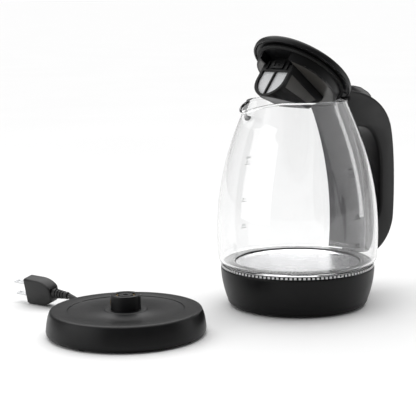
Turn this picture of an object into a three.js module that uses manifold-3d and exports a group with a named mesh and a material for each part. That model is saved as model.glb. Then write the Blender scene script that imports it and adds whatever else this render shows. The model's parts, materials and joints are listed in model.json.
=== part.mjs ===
// A cordless glass kettle standing beside its round power base, lid open.
// Millimetres, +Z up. The kettle's own axis is x = 0, y = 0 of the kettle group; its handle is
// toward +X and its spout toward -X. The power base stands on the same surface, off to the
// spout side, with its cord wound underneath and its plug lying behind it.

import * as THREE from 'three';
import { mergeVertices } from 'three/addons/utils/BufferGeometryUtils.js';
import Module from 'manifold-3d';

const wasm = await Module();
wasm.setup();

// ---------- driving dimensions ----------
const GAP = 0.3; // clearance between pieces that touch

// glass jug
const RIM_Z = 206.3;
const NECK_R = 50;
const RIM_BEAD = 0.5;
const BELLY_R = 80.7;
const BELLY_Z = 74;
const HEEL_Z = 42.2;
const HEEL_FLANGE_R = 63;
const HEEL_FILLET = 8;
const TEETH = 72; // round the seal ring
const GLASS_T = 2.6;
const SPOUT_REACH = 25;
const SPOUT_DROP = 6;
const SPOUT_HALF_ANGLE = 0.62;
const SPOUT_DEPTH = 30;
const SPOUT_BEAD = 3.6; // the rolled edge, which is drawn out whole

// plastic housing under the jug
const HOUSING_TOP_Z = 39.5;
const HOUSING_TOP_R = 77.2;
const HOUSING_FOOT_R = 70.7;
const HOUSING_FILLET = 5.2;
const HOUSING_WALL = 2.4;
const FOOT_H = 1.4;
const FEET_R = 45; // the feet land inside the power base's dish
const COVER_T = 2.2;

// heater and connector
const PLATE_R = 62;
const PLATE_T = 1.2;
const ELEMENT_R = 46;
const ELEMENT_D = 7;
const POST_R = 14;
const POST_H = 14.6;
const SOCKET_CLEAR = 0.7;
const SOCKET_WALL = 3.2;

// handle
const HANDLE_W = 26;
const HANDLE_REACH = 137;
const GRIP_T = 24;
const GAP_TOP_Z = 173.5;
const GAP_BOTTOM_Z = 68;
const STRAP_W = 51;
const STRAP_T = 2.4;
const HANDLE_FOOT_Z = 38;
const STEAM_TUBE_D = 7;

// lid
const LID_R = 52.5;
const LID_T = 7.2;
const LID_WALL = 2.2;
const LID_OPEN = THREE.MathUtils.degToRad(38.5);
const PIN_X = 40.2;
const BARREL_R = 4.6;
const PIN_R = 1.5;
const LUG_IN = 16.8;
const LUG_OUT = 21.8;
const SKIRT_R = 43;
const SKIRT_H = 12;
const SEAL_T = 3.2;

// filter under the lid
const FILTER_FRONT_X = -29.5;
const FILTER_HALF_W = 20;
const FILTER_WALL = 2;
const FILTER_DEPTH = 37.4;

// release button and latch
const BUTTON_W = 17;
const BUTTON_TRAVEL = 2.5;
const LATCH_W = 8;
const LATCH_H = 3;
const LATCH_TRAVEL = 2;

// on/off lever under the handle
const LEVER_W = 22;
const LEVER_Z = 19;
const LEVER_PIVOT_X = 69;
const LEVER_REACH = 92;

// power base, placed from the kettle's axis
const BASE_X = -200.4;
const BASE_Y = 26.7;
const BASE_R = 74.4;
const BASE_TOP_R = 70.8;
const BASE_TOP_Z = 24.1;
const BASE_FOOT_H = 1.8;
const BASE_WALL = 2.4;
const DISH_R = 54;
const DISH_DROP = 1.2;
const HUB_R = 30;
const CHANNEL_R = 63.5;
const CHANNEL_TOP = 12.6;

// mains lead and plug
const CORD_D = 5.6;
const RELIEF_AT = THREE.MathUtils.degToRad(200); // where the relief leaves the hub
const RELIEF_TURN = THREE.MathUtils.degToRad(90); // and its heading from the radius there
const EARTH_AT = 135; // degrees round the post
const CORD_HEADING = 113.5; // degrees, where the lead leaves the base
const CORD_NOTCH = 9.6;
const COIL_IN_R = 41.5;
const COIL_OUT_R = 60.9;
const COIL_Z = 5;
const COIL_H = 6;
const RELIEF_L = 20;
const PLUG_RELIEF_L = 20;
const PLUG_L = 36;
const PLUG_W = 27;
const PLUG_T = 14;
const PLUG_YAW = THREE.MathUtils.degToRad(99);
const PLUG_LEAN = THREE.MathUtils.degToRad(-12);
const PLUG_FACE = [7.9, 168.2];
const BLADE_L = 17.7;
const BLADE_SPACING = 12.7;

const ROUND = 40; // segments round a large turned piece
const SMALL = 14; // segments round a small turned piece

// ---------- values worked out from them ----------
const RIM_R = NECK_R + RIM_BEAD;
const PLATE_Z = HEEL_Z + 0.2;
const LID_Z = RIM_Z + 0.5;
const PIN_Z = LID_Z + BARREL_R;
const SKIRT_Z = LID_Z - SKIRT_H;
const HOUSING_FLOOR = FOOT_H;
const SOCKET_TOP = HOUSING_FLOOR + POST_H + 2.4;
const DISH_Z = BASE_TOP_Z - DISH_DROP;
const POST_TOP_Z = DISH_Z + POST_H;

// ---------- materials ----------
function plastic(colour, roughness) {
  return new THREE.MeshStandardMaterial({ color: colour, roughness, metalness: 0 });
}

function metal(colour, roughness) {
  return new THREE.MeshStandardMaterial({ color: colour, roughness, metalness: 1 });
}

const blackSatin = plastic(0x1c1c1c, 0.42);
const blackGloss = plastic(0x121212, 0.2);
const blackMatt = plastic(0x242424, 0.6);
const rubber = plastic(0x181818, 0.85);
const silicone = plastic(0xd8d8d6, 0.5);
const greyMesh = plastic(0xb9babb, 0.5);
const whiteNylon = plastic(0xe6e3dc, 0.5);
const steel = metal(0xc9cbcd, 0.25);
const darkSteel = metal(0x8d9093, 0.4);
const brass = metal(0xc9a557, 0.3);
const plateSilver = metal(0xd5d6d8, 0.22);
const glass = new THREE.MeshStandardMaterial({
  color: 0xe9f1f2,
  roughness: 0.05,
  metalness: 0,
  transparent: true,
  opacity: 0.35,
});

// ---------- solid helpers ----------
function toSolid(geometry) {
  const bare = geometry.clone();
  for (const key of Object.keys(bare.attributes)) {
    if (key !== 'position') bare.deleteAttribute(key);
  }
  const merged = mergeVertices(bare, 1e-4);
  return new wasm.Manifold(new wasm.Mesh({
    numProp: 3,
    vertProperties: new Float32Array(merged.attributes.position.array),
    triVerts: new Uint32Array(merged.index.array),
  }));
}

function toGeometry(solid) {
  const mesh = solid.getMesh();
  const geometry = new THREE.BufferGeometry();
  geometry.setAttribute('position', new THREE.BufferAttribute(new Float32Array(mesh.vertProperties), 3));
  geometry.setIndex(new THREE.BufferAttribute(new Uint32Array(mesh.triVerts), 1));
  geometry.computeVertexNormals();
  return geometry;
}

function piece(name, solid, material) {
  const mesh = new THREE.Mesh(toGeometry(solid), material);
  mesh.name = name;
  return mesh;
}

// a closed profile of [radius, z] points turned about +Z
function turned(profile, segments = SMALL) {
  const points = profile.map(([r, z]) => new THREE.Vector2(Math.max(r, 0), z));
  points.push(points[0].clone());
  const geometry = new THREE.LatheGeometry(points, segments);
  geometry.rotateX(Math.PI / 2);
  let solid = toSolid(geometry);
  if (solid.volume() < 0) {
    geometry.index.array.reverse();
    solid = toSolid(geometry);
  }
  return solid;
}

function disc(radius, z0, z1, segments = SMALL) {
  return turned([[0, z0], [radius, z0], [radius, z1], [0, z1]], segments);
}

function ring(inner, outer, z0, z1, segments = SMALL) {
  return turned([[inner, z0], [outer, z0], [outer, z1], [inner, z1]], segments);
}

function box(x0, x1, y0, y1, z0, z1) {
  const geometry = new THREE.BoxGeometry(x1 - x0, y1 - y0, z1 - z0);
  geometry.translate((x0 + x1) / 2, (y0 + y1) / 2, (z0 + z1) / 2);
  return toSolid(geometry);
}

// an outline in the XZ plane given full width along Y, with an optional rounded edge
function slab(outline, width, edge = 0, y = 0) {
  const shape = outline instanceof THREE.Shape
    ? outline
    : new THREE.Shape(outline.map(([x, z]) => new THREE.Vector2(x, z)));
  const geometry = new THREE.ExtrudeGeometry(shape, {
    depth: width - 2 * edge,
    curveSegments: 8,
    bevelEnabled: edge > 0,
    bevelThickness: edge,
    bevelSize: edge,
    bevelOffset: -edge,
    bevelSegments: 2,
  });
  geometry.rotateX(Math.PI / 2);
  geometry.translate(0, y + width / 2 - edge, 0);
  return toSolid(geometry);
}

function moved(solid, x, y, z) {
  return solid.translate([x, y, z]);
}

// a round bar along Y
function pinAlongY(radius, y0, y1, x, z, segments = SMALL) {
  const bar = disc(radius, y0, y1, segments).rotate([-90, 0, 0]);
  return moved(bar, x, 0, z);
}

function circleShape(radius, sides) {
  const points = [];
  for (let i = 0; i < sides; i += 1) {
    const a = (2 * Math.PI * i) / sides;
    points.push(new THREE.Vector2(radius * Math.cos(a), radius * Math.sin(a)));
  }
  return new THREE.Shape(points);
}

function tube(points, diameter, sides, steps) {
  const curve = new THREE.CatmullRomCurve3(points.map((p) => new THREE.Vector3(...p)), false, 'centripetal');
  return toSolid(new THREE.ExtrudeGeometry(circleShape(diameter / 2, sides), {
    steps,
    extrudePath: curve,
    bevelEnabled: false,
  }));
}

// a coil spring standing on +Z
function coilSpring(radius, wire, turns, height) {
  const points = [];
  const count = turns * 8;
  for (let i = 0; i <= count; i += 1) {
    const a = (2 * Math.PI * i) / 8;
    points.push([radius * Math.cos(a), radius * Math.sin(a), (height * i) / count]);
  }
  return tube(points, wire, 5, count);
}

function screw(headR, headH, shankR, shankL) {
  return turned([[0, 0], [headR, 0], [headR, headH], [shankR, headH], [shankR, shankL], [0, shankL]], 12);
}

function polar(radius, angle) {
  return [radius * Math.cos(angle), radius * Math.sin(angle)];
}

// ---------- glass jug ----------
// outside radius of the jug at height z, before the spout is drawn out
function jugRadius(z) {
  const neckZ = RIM_Z - 3.3;
  if (z <= BELLY_Z) {
    const t = (BELLY_Z - z) / (BELLY_Z - HEEL_Z);
    return BELLY_R - 2.1 * t * t;
  }
  const t = Math.min((z - BELLY_Z) / (neckZ - BELLY_Z), 1);
  const neck = NECK_R + (BELLY_R - NECK_R) * (1 - t * t);
  return z > neckZ ? neck + (RIM_BEAD * (z - neckZ)) / (RIM_Z - neckZ) : neck;
}

// the pouring lip: how far the wall is drawn toward -X at a point round the neck
function spoutShare(x, y, z) {
  const away = Math.abs(Math.atan2(y, -x)) / SPOUT_HALF_ANGLE;
  const up = (z - (RIM_Z - SPOUT_DEPTH)) / (SPOUT_DEPTH - SPOUT_BEAD);
  if (away >= 1 || up <= 0) return 0;
  return Math.cos((away * Math.PI) / 2) ** 2 * Math.min(up, 1) ** 2;
}

function jugHeights() {
  const heights = [];
  const start = HEEL_Z + HEEL_FILLET;
  for (const share of [0, 0.2, 0.4, 0.58, 0.73, 0.85, 0.92, 0.97, 1]) {
    heights.push(start + share * (RIM_Z - start));
  }
  return heights;
}

function glassJug() {
  const outer = jugHeights().map((z) => [jugRadius(z), z]);
  const inner = jugHeights().map((z) => [jugRadius(z) - GLASS_T, Math.min(z, RIM_Z - 0.01)]).reverse();
  const heelR = jugRadius(HEEL_Z + HEEL_FILLET);
  const heel = [];
  for (const a of [0.25, 0.5, 0.75, 1]) {
    const c = Math.cos((a * Math.PI) / 2);
    const s = Math.sin((a * Math.PI) / 2);
    heel.push([heelR - HEEL_FILLET + HEEL_FILLET * c, HEEL_Z + HEEL_FILLET - HEEL_FILLET * s]);
  }
  const innerFillet = HEEL_FILLET - GLASS_T;
  const heelInside = [];
  for (const a of [1, 0.66, 0.33]) {
    const c = Math.cos((a * Math.PI) / 2);
    const s = Math.sin((a * Math.PI) / 2);
    heelInside.push([heelR - HEEL_FILLET + innerFillet * c, HEEL_Z + HEEL_FILLET - innerFillet * s]);
  }
  const profile = [
    [HEEL_FLANGE_R, HEEL_Z],
    ...heel.reverse(),
    ...outer,
    ...inner,
    ...heelInside.reverse(),
    [HEEL_FLANGE_R, HEEL_Z + GLASS_T],
  ];
  const points = profile.map(([r, z]) => new THREE.Vector2(r, z));
  points.push(points[0].clone());
  const geometry = new THREE.LatheGeometry(points, ROUND);
  geometry.rotateX(Math.PI / 2);
  const position = geometry.attributes.position;
  for (let i = 0; i < position.count; i += 1) {
    const x = position.getX(i);
    const y = position.getY(i);
    const z = position.getZ(i);
    const share = spoutShare(x, y, z);
    position.setX(i, x - SPOUT_REACH * share);
    position.setZ(i, z - SPOUT_DROP * share * share);
  }
  let solid = toSolid(geometry);
  if (solid.volume() < 0) {
    geometry.index.array.reverse();
    solid = toSolid(geometry);
  }
  return piece('glass_jug', solid, glass);
}

// ---------- housing, heater and connector under the jug ----------
function housingRadius(z) {
  const low = HOUSING_FLOOR + HOUSING_FILLET;
  const t = (z - low) / (HOUSING_TOP_Z - low);
  return HOUSING_FOOT_R + (HOUSING_TOP_R - HOUSING_FOOT_R) * Math.sin((t * Math.PI) / 2) ** 0.9;
}

function housingOutside() {
  const outside = [];
  for (const a of [1, 0.66, 0.33]) {
    const c = Math.cos((a * Math.PI) / 2);
    const s = Math.sin((a * Math.PI) / 2);
    outside.push([
      HOUSING_FOOT_R - HOUSING_FILLET + HOUSING_FILLET * c,
      HOUSING_FLOOR + HOUSING_FILLET - HOUSING_FILLET * s,
    ]);
  }
  for (const t of [0, 0.2, 0.45, 0.75, 1]) {
    const low = HOUSING_FLOOR + HOUSING_FILLET;
    const z = low + t * (HOUSING_TOP_Z - low);
    outside.push([housingRadius(z), z]);
  }
  return outside;
}

function leverSlot(clearance) {
  const half = LEVER_W / 2 + clearance;
  return box(HOUSING_FOOT_R - 12, HOUSING_TOP_R + 6, -half, half, LEVER_Z - 6.5, LEVER_Z + 4.5);
}

function baseHousing() {
  const outside = housingOutside();
  const inside = outside.map(([r, z]) => [r - HOUSING_WALL, Math.min(z, HOUSING_TOP_Z)]).reverse();
  inside[inside.length - 1] = [outside[0][0] - HOUSING_WALL, HOUSING_FLOOR];
  let shell = turned([...outside, ...inside], ROUND).subtract(leverSlot(0.6));
  for (const side of [-1, 1]) {
    const near = side * (LEVER_W / 2 + 0.9);
    const far = side * (LEVER_W / 2 + 4);
    const y = [near, far].sort((a, b) => a - b);
    shell = shell.add(box(LEVER_PIVOT_X - 4, LEVER_PIVOT_X + 3.6, y[0], y[1], LEVER_Z - 4, LEVER_Z + 4));
  }
  shell = shell.subtract(pinAlongY(1.5 + GAP, -30, 30, LEVER_PIVOT_X, LEVER_Z, 12));
  return piece('base_housing', shell, blackSatin);
}

function housingBottomCover() {
  const radius = HOUSING_FOOT_R - HOUSING_FILLET - HOUSING_WALL - GAP;
  const mouth = POST_R + SOCKET_CLEAR + SOCKET_WALL + GAP;
  let cover = ring(mouth, radius, HOUSING_FLOOR, HOUSING_FLOOR + COVER_T, ROUND);
  for (let i = 0; i < 3; i += 1) {
    const [x, y] = polar(38, (i * 2 * Math.PI) / 3 + Math.PI / 3);
    cover = cover.subtract(moved(disc(3.3, -1, HOUSING_FLOOR + 1.2, 12), x, y, 0));
    cover = cover.subtract(moved(disc(1.9, -1, HOUSING_FLOOR + COVER_T + 1, 12), x, y, 0));
  }
  return piece('housing_bottom_cover', cover, blackMatt);
}

function housingScrews() {
  const screws = [];
  for (let i = 0; i < 3; i += 1) {
    const [x, y] = polar(38, (i * 2 * Math.PI) / 3 + Math.PI / 3);
    const solid = moved(screw(3, 0.8, 1.5, 9), x, y, HOUSING_FLOOR + 0.1);
    screws.push(piece(`housing_screw_${i + 1}`, solid, darkSteel));
  }
  return screws;
}

function kettleFeet() {
  const feet = [];
  for (let i = 0; i < 3; i += 1) {
    const [x, y] = polar(FEET_R, (i * 2 * Math.PI) / 3 + Math.PI);
    const pad = moved(disc(5, 0, FOOT_H - GAP, 16), x, y, 0);
    feet.push(piece(`kettle_foot_${i + 1}`, pad, rubber));
  }
  return feet;
}

// the seal under the heel, its rim moulded with small upright teeth
function jugSeal() {
  const seal = ring(PLATE_R + GAP, HOUSING_TOP_R - 2, HOUSING_TOP_Z + GAP, HEEL_Z - GAP, TEETH);
  const outline = new THREE.Shape();
  for (let i = 0; i < TEETH; i += 1) {
    const step = (2 * Math.PI) / TEETH;
    const [x0, y0] = polar(HOUSING_TOP_R - 0.2, i * step);
    const [x1, y1] = polar(HOUSING_TOP_R - 1.6, (i + 0.5) * step);
    if (i === 0) outline.moveTo(x0, y0);
    else outline.lineTo(x0, y0);
    outline.lineTo(x1, y1);
  }
  outline.closePath();
  const depth = HEEL_Z - HOUSING_TOP_Z - 2 * GAP;
  const teeth = new THREE.ExtrudeGeometry(outline, { depth, bevelEnabled: false });
  teeth.translate(0, 0, HOUSING_TOP_Z + GAP);
  const band = toSolid(teeth).subtract(disc(HOUSING_TOP_R - 3, 0, HEEL_Z + 5, TEETH));
  return piece('jug_seal_ring', seal.add(band), silicone);
}

function heaterPlate() {
  const z = PLATE_Z;
  const dish = turned([
    [0, z - 1],
    [PLATE_R - 7, z - 1],
    [PLATE_R - 4, z],
    [PLATE_R, z],
    [PLATE_R, z + PLATE_T],
    [PLATE_R - 5, z + PLATE_T],
    [PLATE_R - 8, z + PLATE_T - 1],
    [0, z + PLATE_T - 1],
  ], ROUND);
  return piece('heater_plate', dish, plateSilver);
}

function heatSpreader() {
  const top = PLATE_Z - 1 - GAP;
  return piece('heat_spreader', ring(24, ELEMENT_R + 8, top - 2.4, top, 40), darkSteel);
}

// the tubular element: most of a circle, with two cold ends turned down to the control
function heatingElement() {
  const z = PLATE_Z - 1 - GAP * 4 - 2.4 - ELEMENT_D / 2;
  const points = [];
  const open = 0.35;
  points.push([...polar(ELEMENT_R, open), z - 9]);
  for (let i = 0; i <= 18; i += 1) {
    points.push([...polar(ELEMENT_R, open + ((2 * Math.PI - 2 * open) * i) / 18), z]);
  }
  points.push([...polar(ELEMENT_R, -open), z - 9]);
  return piece('heating_element', tube(points, ELEMENT_D, 8, 28), darkSteel);
}

function thermostatBlock() {
  const z0 = SOCKET_TOP + GAP;
  const body = disc(20, z0, z0 + 9, 28).add(box(-26, 26, -9, 9, z0, z0 + 7));
  return piece('thermostat_control', body, whiteNylon);
}

function kettleConnector() {
  const inner = POST_R + SOCKET_CLEAR;
  const outer = inner + SOCKET_WALL;
  const cup = ring(inner, outer, HOUSING_FLOOR, SOCKET_TOP, 28);
  const crown = disc(outer, SOCKET_TOP - 2, SOCKET_TOP, 28);
  const flange = ring(outer - 1, outer + 3.4, HOUSING_FLOOR + COVER_T + GAP, HOUSING_FLOOR + COVER_T + 2, 28);
  return piece('kettle_connector_socket', cup.add(crown).add(flange), blackMatt);
}

// ---------- handle ----------
// the side view of the whole loop, from the neck over the top and down to the housing
function handleOutline() {
  const r = HANDLE_REACH;
  const outline = new THREE.Shape();
  outline.moveTo(46, RIM_Z + 0.4);
  outline.lineTo(60, RIM_Z + 6.2);
  outline.bezierCurveTo(84, RIM_Z + 4, r - 18, RIM_Z - 4, r - 7, RIM_Z - 33);
  outline.bezierCurveTo(r + 1, RIM_Z - 58, r + 0.4, 96, r - 2, 72);
  outline.bezierCurveTo(r - 6, 54, r - 20, 41, r - 36, HANDLE_FOOT_Z);
  outline.lineTo(60, HANDLE_FOOT_Z);
  outline.closePath();
  return outline;
}

function fingerGap(grow = 0) {
  const out = HANDLE_REACH - GRIP_T + grow;
  const top = GAP_TOP_Z + grow;
  const low = GAP_BOTTOM_Z - grow;
  const gap = new THREE.Shape();
  gap.moveTo(20, top);
  gap.lineTo(out - 30, top);
  gap.bezierCurveTo(out - 10, top, out, top - 24, out, top - 46);
  gap.lineTo(out, low + 26);
  gap.bezierCurveTo(out, low + 8, out - 10, low, out - 22, low);
  gap.lineTo(20, low);
  gap.closePath();
  return gap;
}

// everything inside the strap's outer face, so that the arms stop against it
function insideStrap(extra) {
  const profile = [[0, HANDLE_FOOT_Z - 30]];
  const reach = STRAP_T + GAP + extra;
  profile.push([HOUSING_TOP_R + GAP, HANDLE_FOOT_Z - 30]);
  profile.push([HOUSING_TOP_R + GAP, HOUSING_TOP_Z + GAP]);
  for (let i = 0; i <= 12; i += 1) {
    const z = HOUSING_TOP_Z + GAP + ((RIM_Z + 0.4 - HOUSING_TOP_Z) * i) / 12;
    profile.push([jugRadius(Math.min(z, RIM_Z)) + reach, z]);
  }
  profile.push([0, RIM_Z + 0.4 + GAP]);
  return turned(profile, ROUND);
}

function steamRoute() {
  const grip = HANDLE_REACH - 8.5;
  return [
    [62, 0, RIM_Z - 10],
    [86, 0, RIM_Z - 10.5],
    [104, 0, RIM_Z - 19],
    [grip - 8, 0, RIM_Z - 34],
    [grip - 1.5, 0, RIM_Z - 60],
    [grip, 0, 120],
    [grip - 2, 0, 80],
    [grip - 12, 0, 60],
    [108, 0, 52],
    [88, 0, 48],
  ];
}

function steamTube() {
  const route = steamRoute();
  const first = route[0];
  const last = route[route.length - 1];
  const bore = [[first[0] - 2, 0, first[2]], ...route, [last[0] - 2, 0, last[2] - 0.4]];
  const wall = tube(route, STEAM_TUBE_D, 8, 20);
  return piece('steam_tube', wall.subtract(tube(bore, STEAM_TUBE_D - 2.4, 6, 20)), whiteNylon);
}

function innerCoverRegion(shrink) {
  const outer = slab(fingerGap(6.6 - shrink), HANDLE_W - 6 - 2 * shrink);
  const span = box(80, HANDLE_REACH, -HANDLE_W, HANDLE_W, GAP_BOTTOM_Z + 14, GAP_TOP_Z - 18);
  return outer.intersect(span);
}

function buttonWell(clear) {
  return slab([
    [61 - clear, RIM_Z - 3.4 - clear],
    [78, RIM_Z - 3.4 - clear],
    [103 + clear, RIM_Z - 12 - clear],
    [103 + clear, RIM_Z + 20],
    [61 - clear, RIM_Z + 20],
  ], BUTTON_W + 2 * clear);
}

function handleLoop() {
  const loop = slab(handleOutline(), HANDLE_W, 3).subtract(slab(fingerGap(), HANDLE_W + 8));
  return loop.subtract(insideStrap(GAP));
}

function handleShell() {
  let shell = handleLoop();
  shell = shell.subtract(innerCoverRegion(0));
  shell = shell.subtract(tube(steamRoute(), STEAM_TUBE_D + 2, 8, 24));
  shell = shell.subtract(buttonWell(0.5));
  shell = shell.subtract(box(30, 61, -LUG_OUT, LUG_OUT, RIM_Z - 2, RIM_Z + 30));
  shell = shell.subtract(box(58, 66, -LATCH_W / 2 - 0.6, LATCH_W / 2 + 0.6, RIM_Z - 2, RIM_Z + 30));
  return piece('handle_outer_shell', largest(shell), blackSatin);
}

function handleInnerCover() {
  const route = tube(steamRoute(), STEAM_TUBE_D + 2, 8, 24);
  const cover = innerCoverRegion(GAP).subtract(slab(fingerGap(), HANDLE_W + 8)).subtract(route);
  return piece('handle_inner_cover', largest(cover), blackGloss);
}

function largest(solid) {
  const parts = solid.decompose();
  return parts.reduce((best, part) => (part.volume() > best.volume() ? part : best));
}

// the thin strap bonded up the back of the glass
function handleStrap() {
  const z0 = HOUSING_TOP_Z + 4;
  const z1 = RIM_Z - 4;
  const steps = 12;
  const outside = [];
  const inside = [];
  for (let i = 0; i <= steps; i += 1) {
    const z = z0 + ((z1 - z0) * i) / steps;
    const r = jugRadius(z) + GAP;
    outside.push([r + STRAP_T - GAP, z]);
    inside.push([r, z]);
  }
  const sleeve = turned([...outside, ...inside.reverse()], ROUND * 2);
  const keep = box(20, 120, -STRAP_W / 2, STRAP_W / 2, 0, RIM_Z + 20);
  return piece('handle_strap', sleeve.intersect(keep), blackSatin);
}

// ---------- lid hinge on the handle ----------
function hingeBracket() {
  const top = LID_Z + 2 * BARREL_R - 1;
  const bottom = RIM_Z + 0.8;
  const front = PIN_X + BARREL_R + GAP;
  let bracket = box(front, 60.6, -LUG_OUT, LUG_OUT, bottom, top);
  for (const side of [-1, 1]) {
    const y0 = side > 0 ? LUG_IN : -LUG_OUT;
    const lug = pinAlongY(BARREL_R - GAP, y0, y0 + LUG_OUT - LUG_IN, PIN_X, PIN_Z);
    const web = box(PIN_X, front + 1, y0, y0 + LUG_OUT - LUG_IN, bottom, PIN_Z + 2.6);
    bracket = bracket.add(lug).add(web);
  }
  const round = ring(LID_R + 8.1, LID_R + 40, bottom - 2, top + 2, ROUND);
  bracket = bracket.subtract(round);
  bracket = bracket.subtract(pinAlongY(PIN_R + GAP, -LUG_OUT - 1, LUG_OUT + 1, PIN_X, PIN_Z, 12));
  const half = LATCH_W / 2 + 0.4;
  bracket = bracket.subtract(box(30, 80, -half, half, PIN_Z - LATCH_H / 2 - 0.4, PIN_Z + LATCH_H / 2 + 0.4));
  return piece('lid_hinge_bracket', bracket, blackSatin);
}

function hingePin() {
  const solid = pinAlongY(PIN_R, -LUG_OUT - 0.4, LUG_OUT + 0.4, PIN_X, PIN_Z, 12);
  return piece('hinge_pin', solid, steel);
}

function lidSpring() {
  const coil = coilSpring(2.9, 0.9, 4, 5).rotate([-90, 0, 0]);
  return piece('lid_spring', moved(coil, PIN_X, 8.5, PIN_Z), steel);
}

function releaseButton() {
  const cap = slab([
    [61, RIM_Z - 0.4],
    [78, RIM_Z - 0.4],
    [103, RIM_Z - 9],
    [103, RIM_Z - 2.6],
    [98, RIM_Z + 1.8],
    [86, RIM_Z + 7.6],
    [74, RIM_Z + 10],
    [61, RIM_Z + 9.6],
  ], BUTTON_W, 1.2);
  const hollow = box(66, 78, -5.4, 5.4, RIM_Z - 6, RIM_Z + 3.2);
  return piece('release_button', cap.subtract(hollow), blackGloss);
}

function buttonSpring() {
  return piece('button_spring', moved(coilSpring(3, 0.8, 3, 2.6), 73, 0, RIM_Z - 3), steel);
}

function lidLatch() {
  const tip = PIN_X + BARREL_R + GAP + 0.2;
  const half = LATCH_W / 2;
  const bar = box(tip, 58.6, -half, half, PIN_Z - LATCH_H / 2, PIN_Z + LATCH_H / 2);
  return piece('lid_latch', bar, whiteNylon);
}

// ---------- lid, modelled closed and then swung open about its pin ----------
function lidTrim() {
  const trim = box(PIN_X + 0.8, 80, LUG_IN - 0.4, 80, 150, 260);
  const mirror = box(PIN_X + 0.8, 80, -80, -LUG_IN + 0.4, 150, 260);
  const behind = box(PIN_X, 80, -LUG_IN, LUG_IN, 150, 260);
  return trim.add(mirror).add(behind);
}

function lugRelief() {
  let relief = pinAlongY(BARREL_R + 0.5, LUG_IN - 0.4, LUG_OUT + 0.5, PIN_X, PIN_Z);
  relief = relief.add(pinAlongY(BARREL_R + 0.5, -LUG_OUT - 0.5, -LUG_IN + 0.4, PIN_X, PIN_Z));
  return relief;
}

function lidCover() {
  const z = LID_Z;
  const top = z + LID_T;
  let cover = turned([
    [0, top - LID_WALL + 1.2],
    [LID_R - 16, top - LID_WALL + 0.8],
    [LID_R - LID_WALL - 2.6, top - LID_WALL],
    [LID_R - LID_WALL, top - LID_WALL - 2],
    [LID_R - LID_WALL, z],
    [LID_R, z],
    [LID_R, z + LID_T - 3.4],
    [LID_R - 1.1, z + LID_T - 1.2],
    [LID_R - 3.6, z + LID_T],
    [LID_R - 16, top + 0.9],
    [0, top + 1.4],
  ], ROUND);
  cover = cover.subtract(lidTrim());
  const barrel = pinAlongY(BARREL_R, -LUG_IN + GAP, LUG_IN - GAP, PIN_X, PIN_Z, 24);
  const root = box(PIN_X - 7, PIN_X, -LUG_IN + GAP, LUG_IN - GAP, z, top);
  cover = cover.add(barrel).add(root);
  cover = cover.subtract(lugRelief());
  cover = cover.subtract(pinAlongY(PIN_R + GAP, -40, 40, PIN_X, PIN_Z, 12));
  cover = cover.subtract(pinAlongY(BARREL_R + 0.6, 7.6, 14.6, PIN_X, PIN_Z, 16));
  const core = pinAlongY(3.1, -5, 5, PIN_X, PIN_Z);
  const groove = pinAlongY(BARREL_R + 1, -4.6, 4.6, PIN_X, PIN_Z).subtract(core);
  const rear = box(PIN_X, PIN_X + 9, -5, 5, PIN_Z, PIN_Z + 9);
  cover = cover.subtract(groove.intersect(rear));
  return piece('lid_cover', largest(cover), blackSatin);
}

function lidCatch() {
  const core = pinAlongY(3.4, -5, 5, PIN_X, PIN_Z, 24);
  const band = pinAlongY(BARREL_R - 0.2, -4.2, 4.2, PIN_X, PIN_Z, 24).subtract(core);
  const keep = box(PIN_X + 0.4, PIN_X + 9, -5, 5, PIN_Z + 0.4, PIN_Z + 3.6);
  return piece('lid_catch', band.intersect(keep), steel);
}

// the front of the skirt is open toward the spout, and its floor is open over the filter
function skirtOpenings() {
  const window = box(-SKIRT_R - 6, FILTER_FRONT_X + 3.1, -19, 19, SKIRT_Z - 1, LID_Z - 3.2);
  const passage = box(FILTER_FRONT_X + 3, 17, -15, 15, SKIRT_Z - 1, SKIRT_Z + 3);
  return window.add(passage);
}

function lidSkirt() {
  const z = LID_Z;
  let skirt = turned([
    [0, SKIRT_Z],
    [SKIRT_R - 0.6, SKIRT_Z],
    [SKIRT_R, SKIRT_Z + 0.6],
    [SKIRT_R, z + 0.6],
    [LID_R - LID_WALL - 1, z + 0.6],
    [LID_R - LID_WALL - 1, z + 2.2],
    [0, z + 2.2],
    [0, z + 0.6],
    [SKIRT_R - 2, z + 0.6],
    [SKIRT_R - 2, SKIRT_Z + 1.8],
    [0, SKIRT_Z + 1.8],
  ], ROUND);
  const rear = box(PIN_X - 8, 80, -80, 80, z - 0.4, z + 20);
  skirt = skirt.subtract(rear).subtract(skirtOpenings());
  const lugs = box(PIN_X - 8, 80, -LUG_OUT - 1, LUG_OUT + 1, z - 3, z + 20);
  return piece('lid_skirt', largest(skirt.subtract(lugs)), blackMatt);
}

function lidSeal() {
  const inner = SKIRT_R + GAP;
  const outer = NECK_R - GLASS_T - 0.5;
  let seal = turned([
    [inner, LID_Z - SEAL_T],
    [outer, LID_Z - SEAL_T + 0.6],
    [outer - 0.6, LID_Z - 0.6],
    [inner, LID_Z + 0.2],
  ], ROUND);
  seal = seal.subtract(box(PIN_X - 8, 80, -80, 80, LID_Z - 0.4, LID_Z + 9));
  return piece('lid_seal', largest(seal), rubber);
}

// ---------- pouring filter clipped under the lid ----------
function filterSide(shrink) {
  const top = SKIRT_Z - 0.4;
  const front = FILTER_FRONT_X + shrink;
  return [
    [front, top],
    [front, top - FILTER_DEPTH + shrink * 1.2],
    [-5, top - 27 + shrink * 1.2],
    [14 - shrink * 0.6, top - 21 + shrink * 1.1],
    [24 - shrink * 1.3, top - 4 + shrink * 0.5],
    [24 - shrink * 1.3, top],
  ];
}

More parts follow.
